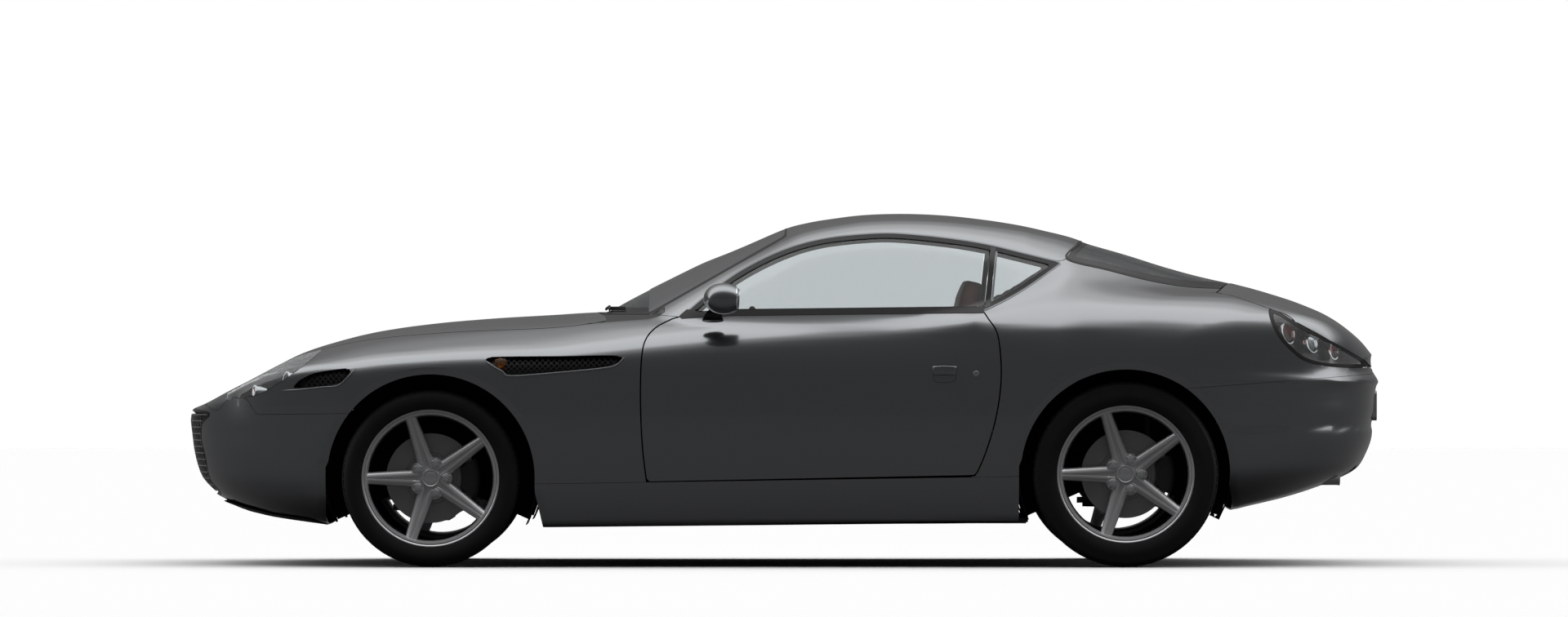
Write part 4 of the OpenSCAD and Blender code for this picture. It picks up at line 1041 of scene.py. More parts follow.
# The grille in the nose: a dark duct behind a lattice of thin bars, and the lip under it
grilleWork = {"ductDepth": 22, "pitch": 24, "barHalf": 1.8, "barThick": 5, "barSink": 5, "lip": 9,
              "lipDepth": 30}
v, f = bothHalves(*cutSkin([lambda p: mouthR(p) - 2]))
n = normalAt(v)
skinObject("grilleDuct", thickened(v - n * grilleWork["ductDepth"], f, n, 2), "gloss", "body",
           "black_plastic",
           "grille")
grilleBars = latticePart(mouthOutline, grilleWork["pitch"], mouthOutline.min(0), mouthOutline.max(0),
                         (0.0, math.pi / 2), grilleWork["pitch"], grilleWork["barHalf"],
                         grilleWork["barThick"],
                         grilleWork["barSink"], faceAt)
skinObject("grilleBars", grilleBars, "satin", "body", "wheel_metal")
v, f = bothHalves(*cutSkin([lambda p: mouthR(p) + 0.5, lambda p: -grilleWork["lip"] - mouthR(p)]))
n = normalAt(v)
skinObject("grilleEdge", thickened(v + n * 0.5, f, n, grilleWork["lipDepth"]), "gloss", "body",
           "black_plastic")
print("vents, liners and grille made")

# Roof, glass and doors
glassWork = {"ring": 20, "frame": 4, "sink": 2.0, "thick": 4.5, "border": 26, "roofDepth": 22, "postHalf": 9}


def inRing(region, outer, inner):  # the band between two distances inside an outline
    return [lambda p: region(p) + outer, lambda p: -inner - region(p)]


def postSide(p):  # distance ahead (-) or behind (+) of the middle of the door post line
    return p[:, 0] - (745 + (p[:, 2] - 941) * 25 / 248)


roofPart = panelPart(*bothHalves(*cutSkin(panelRegions["roof"])))
skinObject("roofPanel", roofPart, "paint", "body", "body_paint", "roof")
v, f = bothHalves(*cutSkin(allOf(roofR, lambda p: 4 + roofR(p))))
n = normalAt(v)
skinObject("roofLining", thickened(v - n * (glassWork["roofDepth"] - 6), f, n, 5), "headliner", "body",
           "black_plastic")

# The windscreen and the rear window: clear glass with a printed black border
for name, region, node in (("windscreenGlass", screenR, "windscreen"),
                           ("rearGlass", rearScreenR, "rear_screen")):
    away = [notIn(lidRegion, mg * 2), notIn(bonnetR, 4)] if name == "rearGlass" else [notIn(bonnetR, 4)]
    v, f = bothHalves(*cutSkin(allOf(region, lambda p: glassWork["border"] + region(p), away)))
    n = normalAt(v)
    skinObject(name, thickened(v - n * glassWork["sink"], f, n, glassWork["thick"]), "darkGlass", "body",
               "glass", node)
    v, f = bothHalves(*cutSkin(allOf(region, lambda p: -glassWork["border"] - region(p), away)))
    n = normalAt(v)
    skinObject(name + "Border", thickened(v - n * glassWork["sink"], f, n, glassWork["thick"]), "gloss",
               "body",
               "black_plastic")
    seal = cutSkin(allOf(region, lambda p: -7 - region(p), away))
    v, f = bothHalves(*seal)
    n = normalAt(v)
    skinObject(name + "Seal", thickened(v + n * 0.6, f, n, 6), "seal", "body", "black_plastic")


def belowBelt(p):  # the stretch of the window's edge that belongs to the door
    return np.maximum(p[:, 2] - 948, postSide(p) + glassWork["postHalf"])


def sideGlass(name, regions, material, bodies, slot, sink, depth, replaced=()):
    pairOf(name, skinPatch(regions, sink, depth), material, bodies, slot, replaced)


opening = allOf(windowR, lambda p: windowR(p) + glassWork["ring"])
sideGlass("doorGlass", allOf(opening, lambda p: postSide(p) + glassWork["postHalf"]), "glass", doorBodies,
          "glass",
          3, 4, ["door_glass"])
quarter = allOf(opening, lambda p: glassWork["postHalf"] + 8 - postSide(p))
v, f = cutSkin(quarter)
n = normalAt(v)
quarterPart = thickened(v - n * 3, f, n, 4)
skinObject("quarterGlassLeft", quarterPart, "glass", "body", "glass", "quarter_windows")
skinObject("quarterGlassRight", mirroredPart(quarterPart), "glass", "body", "glass")
fixedEdge = lambda p: -belowBelt(p)
sideGlass("windowFrame", allOf(inRing(windowR, -1, glassWork["frame"]), fixedEdge), "barrel", fixedBodies,
          "wheel_metal", -1.2, 6)
sideGlass("windowSeal", allOf(inRing(windowR, glassWork["frame"], glassWork["ring"] - 1), fixedEdge), "seal",
          fixedBodies, "black_plastic", -0.4, 8)
sideGlass("beltSeal", allOf(inRing(windowR, -6, glassWork["ring"] - 5), belowBelt), "seal", doorBodies,
          "black_plastic", -1.4, 6)
sideGlass("postCover", allOf(windowR, lambda p: windowR(p) + 8, lambda p: np.abs(postSide(p) - 4) - 10),
          "gloss",
          fixedBodies, "black_plastic", -1.0, 8)
sideGlass("quarterFrame", allOf(opening, lambda p: postSide(p) - 22, lambda p: 15 - postSide(p)), "barrel",
          fixedBodies, "wheel_metal", -0.6, 5)

# Doors: painted skin, a hollow box behind it and a trimmed inner panel
doorWork = {"depth": 50, "trimInset": 16, "armZ": 640}
v, f = cutSkin([doorR])
n = normalAt(v)
pairOf("doorShell", thickened(v, f, n, doorWork["depth"]), "paint", doorBodies, "body_paint", ["door"])
v, f = cutSkin([lambda p: doorR(p) + doorWork["trimInset"], lambda p: 330 - p[:, 2]])
n = normalAt(v)
# The trim swells round the arm rest and is pinched at its seams.
swell = (10 * np.exp(-((v[:, 2] - doorWork["armZ"]) / 46)**2) * ease(-420, -300,
                                                                     v[:, 0]) * (1 - ease(480, 640, v[:, 0]))
         - 3 * np.exp(-((v[:, 2] - 735) / 5)**2) - 3 * np.exp(-((v[:, 2] - 560) / 5)**2))
pairOf("doorTrim", thickened(v - n * (doorWork["depth"] + 1 + np.maximum(swell, -4))[:, None], f, n, 8),
       "leather", doorBodies, "leather")


# Door handle: a recess plate, a pull bar over it, and the lock
handle = {"low": [547, 679], "high": [634, 745], "lock": [706, 712]}


plateR = sideRegion(superOutline(handle["low"], handle["high"]))
v, f = cutSkin([plateR])
n = normalAt(v)
dish = 16 * ease(0, 22, -plateR(v))
pairOf("handleDish", thickened(v - n * (dish - 1)[:, None], f, n, 2), "gloss", doorBodies, "black_plastic")
barX = np.linspace(handle["low"][0] + 2, handle["high"][0] - 2, 15)
bar = skinAt(np.stack([barX, np.full(15, 722) + 2 * np.sin((barX - 547) / 87 * math.pi)], -1))
bar = bar + normalAt(bar) * (9 * np.sin(np.linspace(0, math.pi, 15))**0.5)[:, None]
pairOf("handleBar", ribbon(bar, (0, 0, 1), roundProfile(17, 4, 16, 3)), "paint", doorBodies, "body_paint")
lockC = skinAt([handle["lock"]])
lockN = normalAt(lockC)[0]


pairOf("doorLock", aimed(revolved([(0, -6), (11, -6), (11, 0.6), (9.5, 1.8), (7, 1.8), (6, 0.4), (0, 0.4)],
                                  32),
                         lockC[0], lockN), "cast", doorBodies, "wheel_metal")
print("doors and glass made")

# Mirrors
mirrorWork = {"at": (-215, -884, 988), "size": (81, 74, 57)}


def mirrorHousing():  # an egg-shaped shell cut flat towards the rear, where the glass sits
    u = np.linspace(-math.pi / 2, 0.52, 22)
    t = np.arange(40) / 40 * twoPi
    a, b, c = mirrorWork["size"]
    x = a * np.sin(u)[:, None] * np.ones(40)
    r = np.cos(u)[:, None]
    tip = 1 - 0.1 * np.sin(u)[:, None]
    y = b * r * np.cos(t) * tip
    z = c * r * np.sin(t) * tip
    grid = np.stack([x, y, z], -1)[1:] + np.array(mirrorWork["at"])
    return grid


grid = mirrorHousing()
pairOf("mirrorShell", shellPart(grid, limit=50), "paint", doorBodies, "body_paint", ["mirror"])
rim = grid[-1]
middle = rim.mean(0)
inner = np.stack([middle + (rim - middle) * k + np.array([1.5 * (k > 0.9) + 0.8, 0, 0]) for k in (0.93,
                                                                                                  0.93,
                                                                                                  0.3)])
inner[0, :, 0] -= 6
pairOf("mirrorGlass", shellPart(inner, limit=30), "chrome", doorBodies, "glass")
neck = np.array([[-262, -812, 908], [-262, -818, 922], [-258, -838, 938], [-250, -858, 948],
                 [-240, -872, 960]], float)
neckSizes = [(36, 20), (32, 17), (24, 13), (22, 12), (30, 16)]
g = np.stack([c + np.stack([roundProfile(1, 1, 20, 2.4)[:, 0] * s[0] * 1.1,
                            roundProfile(1, 1, 20, 2.4)[:, 1] * s[1],
                            -roundProfile(1, 1, 20, 2.4)[:, 1] * s[1] * 0.4], -1) for c,
                            s in zip(neck, neckSizes)])
pairOf("mirrorFoot", shellPart(g, limit=50), "gloss", doorBodies, "black_plastic")

# Lamps
lampRegions = allOf(lampBelowR, notIn(bonnetR, mg), lambda p: p[:, 0] + 1660, lambda p: -2130 - p[:, 0],
                    lambda p: 590 - p[:, 2])
v, f = cutSkin(lampRegions)
n = normalAt(v)
lens = thickened(v, f, n, 3)
skinObject("headlampLensLeft", lens, "lampGlass", "body", "lamp_glass", "headlamps")
skinObject("headlampLensRight", mirroredPart(lens), "lampGlass", "body", "lamp_glass")
bowl = thickened(v - n * 75, f, n, 3)
pairOf("headlampBowl", bowl, "gloss", fixedBodies, "black_plastic")


pairOf("headlampWall", wallOf(lampRegions, 74, 3), "gloss", fixedBodies, "black_plastic")
projectors = {"low": [(-1868, 702), 41, 118], "high": [(-1772, 752), 27, 96],
              "indicator": [(-1975, 652), 17, 70]}
for name, ((x, z), r, deep) in projectors.items():
    c = skinAt([[x, z]])[0]
    n = normalAt(c[None])[0]
    forward = np.array([-0.94, -0.3, 0.12])
    forward /= np.linalg.norm(forward)
    base = c - n * (r + 16) - forward * 12
    cup = revolved([(0, -30), (r * 0.8, -30), (r, -6), (r, 10), (r + 4, 12), (r + 4, 16), (r - 2, 16),
                    (r - 5, 8),
                    (r * 0.55, -8), (0, -12)], 48, 40)
    ball = revolved([(0, -10), (r * 0.62, -6), (r * 0.6, 4), (r * 0.45, 11), (r * 0.22, 15), (0, 16)], 40,
                    60)
    pairOf(name + "Reflector", aimed(cup, base, forward), "chrome", fixedBodies, "wheel_metal")
    pairOf(name + "Bulb", aimed(ball, base, forward), "amberLens" if name == "indicator" else "lampGlass",
           fixedBodies, "lamp_glass")

tailRegions = allOf(tailLampR, notIn(rearBumperR, -2), notIn(lidRegion, mg))
v, f = cutSkin(allOf(tailRegions, lambda p: tailLampR(p) + 12))
n = normalAt(v)
tailLens = thickened(v, f, n, 3)
skinObject("tailLensLeft", tailLens, "lampGlass", "body", "red_lens", "tail_lamps")
skinObject("tailLensRight", mirroredPart(tailLens), "lampGlass", "body", "red_lens")
pairOf("tailBowl", thickened(v - n * 62, f, n, 3), "gloss", fixedBodies, "black_plastic")
pairOf("tailWall", wallOf(allOf(tailRegions, lambda p: tailLampR(p) + 12), 61, 3), "gloss", fixedBodies,
       "black_plastic")
pairOf("tailRing", skinPatch(allOf(tailRegions, lambda p: -12 - tailLampR(p)), -0.5, 5), "seal", fixedBodies,
       "black_plastic")
rounds = {"stop": [(1868, 868), 40, "redLens"], "reverse": [(1962, 822), 34, "lampGlass"],
          "tailIndicator": [(2048, 790), 27, "redLens"]}
for name, ((x, z), r, material) in rounds.items():
    c = skinAt([[x, z]])[0]
    n = normalAt(c[None])[0]
    backward = np.array([0.8, -0.55, 0.15])
    backward /= np.linalg.norm(backward)
    base = c - n * 30 - backward * 4
    ring = revolved([(0, -22), (r, -22), (r + 3, 8), (r + 1.5, 12), (r - 2, 12), (r - 4, 6), (r - 6, -8),
                     (0, -10)], 48, 40)
    lamp = revolved([(0, -9), (r - 6, -7), (r - 5, 5), (r * 0.6, 10), (r * 0.3, 12), (0, 12.5)], 40, 60)
    pairOf(name + "Ring", aimed(ring, base, backward), "chrome", fixedBodies, "wheel_metal")
    pairOf(name + "Lens", aimed(lamp, base, backward), material, fixedBodies, "red_lens")
print("lamps made")

# Wheels
wheel = {"rimR": 254, "hubFace": 34, "spokeRoot": 36, "spokeTip": 240, "rootHalf": 33, "tipHalf": 21,
         "capR": 25, "capRingR": 35, "nutR": 15.5, "nutPitch": 57, "padR": 24, "discR": 165, "discHat": 84,
         "discSink": 74, "discThick": 26, "spokeThick": 22}


def spokePart(w):  # two bright facets on each side of a shallow groove that opens towards the hub
    u = np.linspace(0, 1, 21)
    r = wheel["spokeRoot"] + (wheel["spokeTip"] - wheel["spokeRoot"]) * u
    half = wheel["rootHalf"] + (wheel["tipHalf"] - wheel["rootHalf"]) * u
    # The face rises from the hub to the lip on a shallow hollow curve.
    face = w - 16 - wheel["hubFace"] + (wheel["hubFace"] - 6) * u**1.7
    groove = 9 * (1 - u)**0.6 * np.minimum(1, (1 - u) * 8)
    across = [(-1, -1, -wheel["spokeThick"]), (-1, -1, -14), (-0.82, -0.84, -8), (-0.5, -0.3, 0),
              (-0.34, -0.1, -0.5),
              (-0.09, -0.02, -1), (0.09, 0.02, -1), (0.34, 0.1, -0.5), (0.5, 0.3, 0), (0.82, 0.84, -8),
              (1, 1, -14), (1, 1, -wheel["spokeThick"]), (0.6, 0.6, -wheel["spokeThick"] - 4),
              (-0.6, -0.6, -wheel["spokeThick"] - 4)]
    p = np.zeros((len(u), len(across), 3))
    for k, (rootX, tipX, drop) in enumerate(across):
        p[:, k, 0] = r
        p[:, k, 1] = half * (rootX + (tipX - rootX) * u)
        p[:, k, 2] = face + drop - (groove if abs(rootX) < 0.1 else 0)
    return shellPart(p, limit=14)


def nutPart(r, low, high):  # hexagonal nut that ends in a round dome
    a = np.arange(36) / 36 * twoPi
    hexagon = r / np.cos((a + math.pi / 6) % (math.pi / 3) - math.pi / 6)
    heights = [(low, 1.1, 0), (high - 9, 1.1, 0), (high - 7, 1, 0.6), (high - 6, 0.82, 1),
               (high - 2, 0.7, 1), (high, 0.45, 1),
               (high + 1, 0.1, 1)]
    p = []
    for z, k, roundness in heights:
        reach = (hexagon * (1 - roundness) + r * roundness) * k
        p.append(np.stack([np.cos(a) * reach, np.sin(a) * reach, np.full(36, z)], -1))
    p = np.stack(p)
    v, f = gridShell(p)
    return v, f, softNormals(v, f, 20)


def onAxle(part, i, side):  # local z points outwards from the wheel, local x to the rear and y up
    v, f, n = part
    x0, z0 = wheelsAt["x"][i], wheelsAt["z"][i]
    y0 = wheelsAt["track"][i]
    w = np.stack([v[:, 0] + x0, -(y0 + v[:, 2]), v[:, 1] + z0], -1)
    m = np.stack([n[:, 0], -n[:, 2], n[:, 1]], -1)
    out = (w, f, m)
    return mirroredPart(out) if side > 0 else out


def tyreParts(i):
    w = (112.5, 125)[i]
    big = wheelsAt["z"][i]
    # Side wall bulge, shoulder and a crowned tread with four grooves
    sideWall = [(243, w - 26), (252, w - 14), (256.5, w - 13), (259, w - 7), (266, w - 4), (276, w - 1.5),
                (288, w),
                (300, w - 1.2), (big - 17, w - 4), (big - 9, w - 11), (big - 4, w - 20)]
    tread = []
    for at in (0.62, 0.22):
        g = at * w
        tread += [(big - 0.4 - 2.4 * at * at, g + 5), (big - 7, g + 4), (big - 7, g - 4),
                  (big - 0.4 - 2 * at * at, g - 5)]
    half = sideWall + tread
    profile = half + [(r, -h) for r, h in reversed(half)]
    body = revolved(profile[::-1], 128, 32)
    # Sipes across the shoulder blocks, as raised ribs in a ring
    ribs = []
    count = 72
    for k in range(count):
        for sign in (-1, 1):
            a0 = (k + 0.5 * (sign > 0)) / count * twoPi
            a = a0 + np.array([-0.031, 0.031])
            h0, h1 = sign * 0.72 * w, sign * (w - 13)
            c = []
            for angle in a:
                for r, h in ((big - 6, h0), (big - 1.2, h0), (big - 4.2, h1), (big - 10, h1)):
                    c.append([r * math.cos(angle), r * math.sin(angle), h])
            ribs.append(np.array(c))
    box = np.array([[0, 1, 2], [0, 2, 3], [4, 6, 5], [4, 7, 6], [0, 4, 5], [0, 5, 1], [1, 5, 6], [1, 6, 2],
                    [2, 6, 7], [2, 7, 3], [3, 7, 4], [3, 4, 0]])
    parts = [body]
    for c in ribs:
        f = box
        q = c[f]
        if (q[:, 0] * np.cross(q[:, 1], q[:, 2])).sum() - (c.mean(0) * np.cross(q[:, 1] - q[:, 0],
                                                                                q[:, 2] - q[:,
                                                                                            0])).sum() < 0:
            f = f[:, ::-1]
        parts.append((c, f, faceNormals(c, f)))
    return joined(parts)


def buildWheel(i, side):
    end, hand = ("Front", "Rear")[i], "Left" if side < 0 else "Right"
    tag = end + hand
    body = "wheel_" + end.lower() + "_" + hand.lower()
    nodeTag = end.lower() + "_" + hand.lower()
    w = (112.5, 125)[i]
    rim = wheel["rimR"]

    def add(name, part, material, slot, *replaced, ride=body):
        return skinObject(name + tag, onAxle(part, i, side), material, ride, slot, *replaced)

    add("tyre", tyreParts(i), "rubber", "tyre", "tyre_" + nodeTag)
    lip = [(rim - 24, w - 38), (rim - 21, w - 24), (rim - 19, w - 18), (rim - 13, w - 16),
           (rim - 10.5, w - 19),
           (rim - 8, w - 15), (rim - 4, w - 12.5), (rim - 1, w - 13), (rim, w - 16), (rim, w - 20),
           (rim - 12, w - 26), (rim - 18, w - 40)]
    add("rimLip", revolved(lip[::-1], 128, 40), "alloy", "wheel_metal", "rim_" + nodeTag)
    barrel = [(rim - 16, w - 30), (rim - 22, w - 40), (rim - 26, w - 60), (rim - 30, 0), (rim - 26, -w + 34),
              (rim - 18, -w + 18), (rim, -w + 17), (rim, -w + 23), (rim - 13, -w + 25), (rim - 13, w - 30)]
    add("rimBarrel", revolved(barrel[::-1], 96, 40), "barrel", "wheel_metal")
    spokes, pads, nuts = [], [], []
    hubTop = w - 16 - wheel["hubFace"]
    for k in range(5):
        spokes.append(turnedAbout(spokePart(w), math.pi + k * twoPi / 5))
        a = math.pi + (k + 0.5) * twoPi / 5
        x, y = wheel["nutPitch"] * math.cos(a), wheel["nutPitch"] * math.sin(a)
        pads.append(shifted(revolved([(0, hubTop - 34), (wheel["padR"], hubTop - 34),
                                      (wheel["padR"], hubTop - 3),
                                      (wheel["padR"] - 2, hubTop), (wheel["nutR"] + 4, hubTop),
                                      (wheel["nutR"] + 1.5, hubTop - 14), (0, hubTop - 14)], 28, 40), x, y))
        nuts.append(shifted(nutPart(wheel["nutR"], hubTop - 16, hubTop + 8), x, y))
    add("spokes", joined(spokes), "alloy", "wheel_metal")
    hub = revolved([(0, hubTop - 40), (62, hubTop - 40), (60, hubTop - 12), (44, hubTop - 8),
                    (wheel["capRingR"], hubTop - 4),
                    (wheel["capRingR"] - 2, hubTop + 3), (wheel["capRingR"] - 6, hubTop + 4.5),
                    (wheel["capR"] + 2, hubTop + 3), (wheel["capR"] + 1.5, hubTop - 3), (0, hubTop - 3)],
                    64, 40)
    add("hub", joined([hub] + pads), "alloy", "wheel_metal")
    add("wheelNuts", joined(nuts), "satin", "wheel_metal")
    cap = revolved([(0, hubTop - 3), (wheel["capR"], hubTop - 3), (wheel["capR"], hubTop + 1.5),
                    (20, hubTop + 4),
                    (12, hubTop + 5.4), (0, hubTop + 6)], 48, 50)
    add("hubCap", cap, "satin", "wheel_metal")
    back = w - wheel["discSink"] - 16
    discR = wheel["discR"] if i == 0 else wheel["discR"] - 3
    disc = revolved([(60, back - wheel["discThick"]), (discR, back - wheel["discThick"]), (discR, back - 16),
                     (discR - 8, back - 16), (discR - 8, back - 10), (discR, back - 10), (discR, back),
                     (wheel["discHat"] + 12, back), (wheel["discHat"] + 10, back - 1.5),
                     (wheel["discHat"], back - 1.5),
                     (wheel["discHat"] - 3, back + 6), (40, back + 7), (40, back - 8), (60, back - 8)], 96,
                     30)
    add("brakeDisc", disc, "disc", "cast_metal")
    # Caliper over the rear edge of the disc, on the part that carries the wheel
    a = np.linspace(-0.42, 0.42, 15)
    p = np.zeros((15, 12, 3))
    fade = np.clip((1 - np.abs(a / 0.42)) * 6, 0.55, 1)
    section = [(112, back + 14), (150, back + 17), (168, back + 14), (181, back + 4), (181, back - 30),
               (168, back - 42), (112, back - 44), (112, back - 30), (166, back - 30), (171, back - 20),
               (171, back - 2), (112, back + 3)]
    for k, (r, h) in enumerate(section):
        rr = r if r > 160 else 150 - (150 - r) * fade
        p[:, k] = np.stack([rr * np.cos(a), rr * np.sin(a), np.full(15, h)], -1)
    carrier = "body" if i else "knuckle_" + hand.lower()
    add("caliper", shellPart(p, limit=30), "darkPaint", "cast_metal", ride=carrier)


for i in (0, 1):
    for side in (-1, 1):
        buildWheel(i, side)
print("wheels made")

# Cabin
seatWork = {"y": 345}


def padAlong(path, across, half, thick, power=3.2, rows=44, round1=7.0, seams=(), seamDepth=0.16, crown=0.0):
    # superellipse sections along a smooth path; half width and thickness vary along it; ends close in roundly
    p = smoothLine(path, steps=24)
    u = np.linspace(0, 1, len(p))
    at = 0.5 - 0.5 * np.cos(np.linspace(0, math.pi, rows))
    p = np.stack([np.interp(at, u, p[:, k]) for k in range(3)], -1)
    t = np.gradient(p, axis=0)
    t /= np.linalg.norm(t, axis=1, keepdims=True)
    a = np.broadcast_to(np.asarray(across, float), p.shape)
    b = np.cross(t, a)
    e = np.maximum(1 - np.abs(2 * at - 1)**round1, 0)**(1 / round1)
    e = np.maximum(e, 0.02)
    w = np.interp(at, np.linspace(0, 1, len(half)), half) * (0.25 + 0.75 * e)
    h = np.interp(at, np.linspace(0, 1, len(thick)), thick) * e
    pinch = np.ones(rows)
    for s in seams:
        pinch -= seamDepth * np.exp(-((at - s) / 0.012)**2)
    q = roundProfile(1, 1, 40, power)
    bulge = 1 + crown * (1 - q[:, 0]**2)
    g = (p[:, None] + a[:, None] * (q[None, :, :1] * w[:, None, None])
         + b[:, None] * (q[None, :, 1:2] * (h * pinch)[:, None, None] * bulge[None, :, None]))
    return shellPart(g, limit=60)


def seatParts(y):
    up = (0, 1, 0)
    c = y
    cushion = padAlong([(78, c, 402), (200, c, 396), (360, c, 384), (500, c, 378)], up, [160, 158, 150],
                       [44, 46, 40],
                       seams=(0.3, 0.5, 0.7), crown=0.12)
    back = padAlong([(548, c, 440), (572, c, 560), (604, c, 700), (646, c, 850), (668, c, 915)], up,
                    [150, 158, 160, 138], [40, 40, 36, 30], seams=(0.28, 0.45, 0.62, 0.78), crown=0.12)
    head = padAlong([(672, c, 918), (690, c, 985), (706, c, 1050)], up, [100, 112, 96], [36, 40, 30], 3, 30,
                    crown=0.1)
    bolsters = []
    for e in (-1, 1):
        s = c + e * 186
        bolsters.append(padAlong([(70, s, 398), (220, s, 406), (400, s, 402), (540, s, 392)], up,
                                 [44, 46, 40],
                                 [60, 66, 56], 2.6))
        bolsters.append(padAlong([(545, s, 430), (556, s, 560), (588, s, 700), (640, s, 850),
                                  (664, s, 905)], up,
                                 [42, 46, 44, 26], [58, 66, 56, 30], 2.6))
    shell = padAlong([(600, c, 330), (632, c, 520), (664, c, 700), (700, c, 880), (704, c, 930)], up,
                     [212, 218, 210, 150], [22, 22, 20, 16], 4)
    base = padAlong([(70, c, 320), (300, c, 318), (560, c, 318)], up, [215, 215, 215], [34, 34, 34], 5)
    return cushion, back, head, bolsters, shell, base


for side, y in (("Left", -seatWork["y"]), ("Right", seatWork["y"])):
    cushion, back, head, bolsters, shell, base = seatParts(y)
    for name, part, material, fill in (("seatCushion", cushion, "leather", 0.8),
                                       ("seatBack", back, "leather", 0.8),
                                       ("headRest", head, "leather", 0.9),
                                       ("seatBolsters", joined(bolsters), "darkLeather", 0.85)):
        replaced = ("seats",) if name == "seatCushion" and side == "Left" else ()
        obj = skinObject(name + side, part, material, "body", "leather", *replaced)
    skinObject("seatShell" + side, joined([shell, base]), "darkLeather", "body", "leather")
    rails = [shifted(revolved([(0, 0), (9, 0), (9, 470), (0, 470)], 16), 0, 0)]
    rails = [aimed(rails[0], (90, y + e * 150, 200), (1, 0, 0)) for e in (-1, 1)]
    skinObject("seatRails" + side, joined(rails), "satin", "body", "cast_metal")

# Dashboard: a rounded section carried across the car, with a hood over the dials
dash = {"half": 575, "rows": 61, "driver": -345}
y = np.linspace(-dash["half"], dash["half"], dash["rows"])
section = np.array([(-466, 600), (-470, 720), (-468, 846), (-448, 872), (-400, 878), (-330, 868),
                    (-262, 850),
                    (-215, 826), (-192, 800), (-186, 760), (-188, 715), (-206, 690), (-240, 660),
                    (-276, 600),
                    (-300, 572), (-400, 566)], float)
section = smoothLine(section, closed=True, steps=3)
g = np.zeros((len(y), len(section), 3))
end = np.maximum(1 - np.abs(y / dash["half"])**16, 0)**(1 / 16)
end = np.maximum(end, 0.05)[:, None]
centreX, centreZ = section.mean(0)
hood = np.exp(-((y[:, None] - dash["driver"]) / 150)**4)
onTop = ease(800, 860, section[:, 1])[None] * ease(-430, -300, section[:, 0])[None]
g[..., 0] = centreX + (section[:, 0] - centreX)[None] * end + 22 * hood * ease(-330, -230,
                                                                               section[:, 0])[None] * onTop
g[..., 1] = y[:, None]
g[..., 2] = centreZ + (section[:, 1] - centreZ)[None] * end + 42 * hood * onTop
skinObject("dashTop", shellPart(g, limit=50), "darkLeather", "body", "black_plastic", "dashboard")
dials = []
for at, r in ((-405, 46), (-290, 46), (-348, 24)):
    ring = revolved([(0, -12), (r, -12), (r, 6), (r - 2.5, 8), (r - 5, 5), (r - 6, -6), (0, -6)], 40)
    dials.append(aimed(ring, (-196, at, 800 if r > 30 else 770), (0.94, 0, 0.34)))
for at in (-545, -110, 110, 520):
    ring = revolved([(0, -10), (36, -10), (36, 4), (32, 7), (29, 3), (27, -4), (0, -4)], 36)
    dials.append(aimed(ring, (-187, at, 770), (0.98, 0, 0.15)))
skinObject("dials", joined(dials), "satin", "body", "wheel_metal")
column = aimed(revolved([(0, 0), (30, 0), (34, 40), (30, 112), (0, 114)], 32), (-200, -345, 740),
               (0.951, 0, 0.309))
stalks = [aimed(revolved([(0, 0), (5, 0), (5, 110), (8, 118), (8, 150), (0, 152)], 16), (-120, -345, 766),
                (0.12, e, 0.1)) for e in (-1, 1)]
skinObject("columnShroud", joined([column] + stalks), "plastic", "body", "black_plastic")


def onColumn(part, along=142):  # a part whose local z runs up the steering column
    c, s = math.cos(math.radians(72)), math.sin(math.radians(72))
    m = np.array([[c, 0, s], [0, 1, 0], [-s, 0, c]])
    v, f, n = part
    return (v + np.array([0, 0, along])) @ m.T + np.array([-200, -345, 740]), f, n @ m.T


rimRow = roundProfile(15, 13, 16, 2)
a = np.arange(72) / 72 * twoPi
grip = 1 + 0.12 * np.exp(-((np.abs(np.sin(a)) - 0.5) / 0.12)**2)
ringGrid = np.stack([np.stack([(170 + rimRow[:, 0] * k) * math.cos(t),
                               (170 + rimRow[:, 0] * k) * math.sin(t),
                               rimRow[:, 1] * k], -1) for t, k in zip(a, grip)])
v = ringGrid.reshape(-1, 3)
f = gridFaces(73, 16, True) % (72 * 16)
w = v[f]
if (w[:, 0] * np.cross(w[:, 1], w[:, 2])).sum() < 0:
    f = f[:, ::-1]
skinObject("wheelGrip", onColumn((v, f, softNormals(v, f, 60))), "leather", "steering_wheel", "leather",
           "steering_wheel")
spokes = []
for angle in (math.pi / 2, -math.pi / 2, math.pi):
    line = np.array([(28, 0, -12), (80, 0, -10), (130, 0, -4), (160, 0, 0)], float)
    c, s = math.cos(angle), math.sin(angle)
    line = line @ np.array([[c, s, 0], [-s, c, 0], [0, 0, 1]])
    q = roundProfile(1, 1, 12, 3)
    t = line[-1] - line[0]
    t /= np.linalg.norm(t)
    across = np.array([-t[1], t[0], 0]) / math.hypot(t[0], t[1])
    up = np.cross(t, across)
    halves = (30, 20, 15, 16)
    spokes.append(shellPart(np.stack([c0 + across * q[:, :1] * h + up * q[:, 1:2] * 4 for c0,
                                      h in zip(line, halves)])))
skinObject("wheelSpokes", onColumn(joined(spokes)), "satin", "steering_wheel", "wheel_metal")
boss = revolved([(0, -40), (40, -36), (52, -22), (54, -8), (48, 2), (34, 8), (18, 10.5), (0, 11)], 48, 60)
skinObject("wheelBoss", onColumn(boss), "darkLeather", "steering_wheel", "leather")

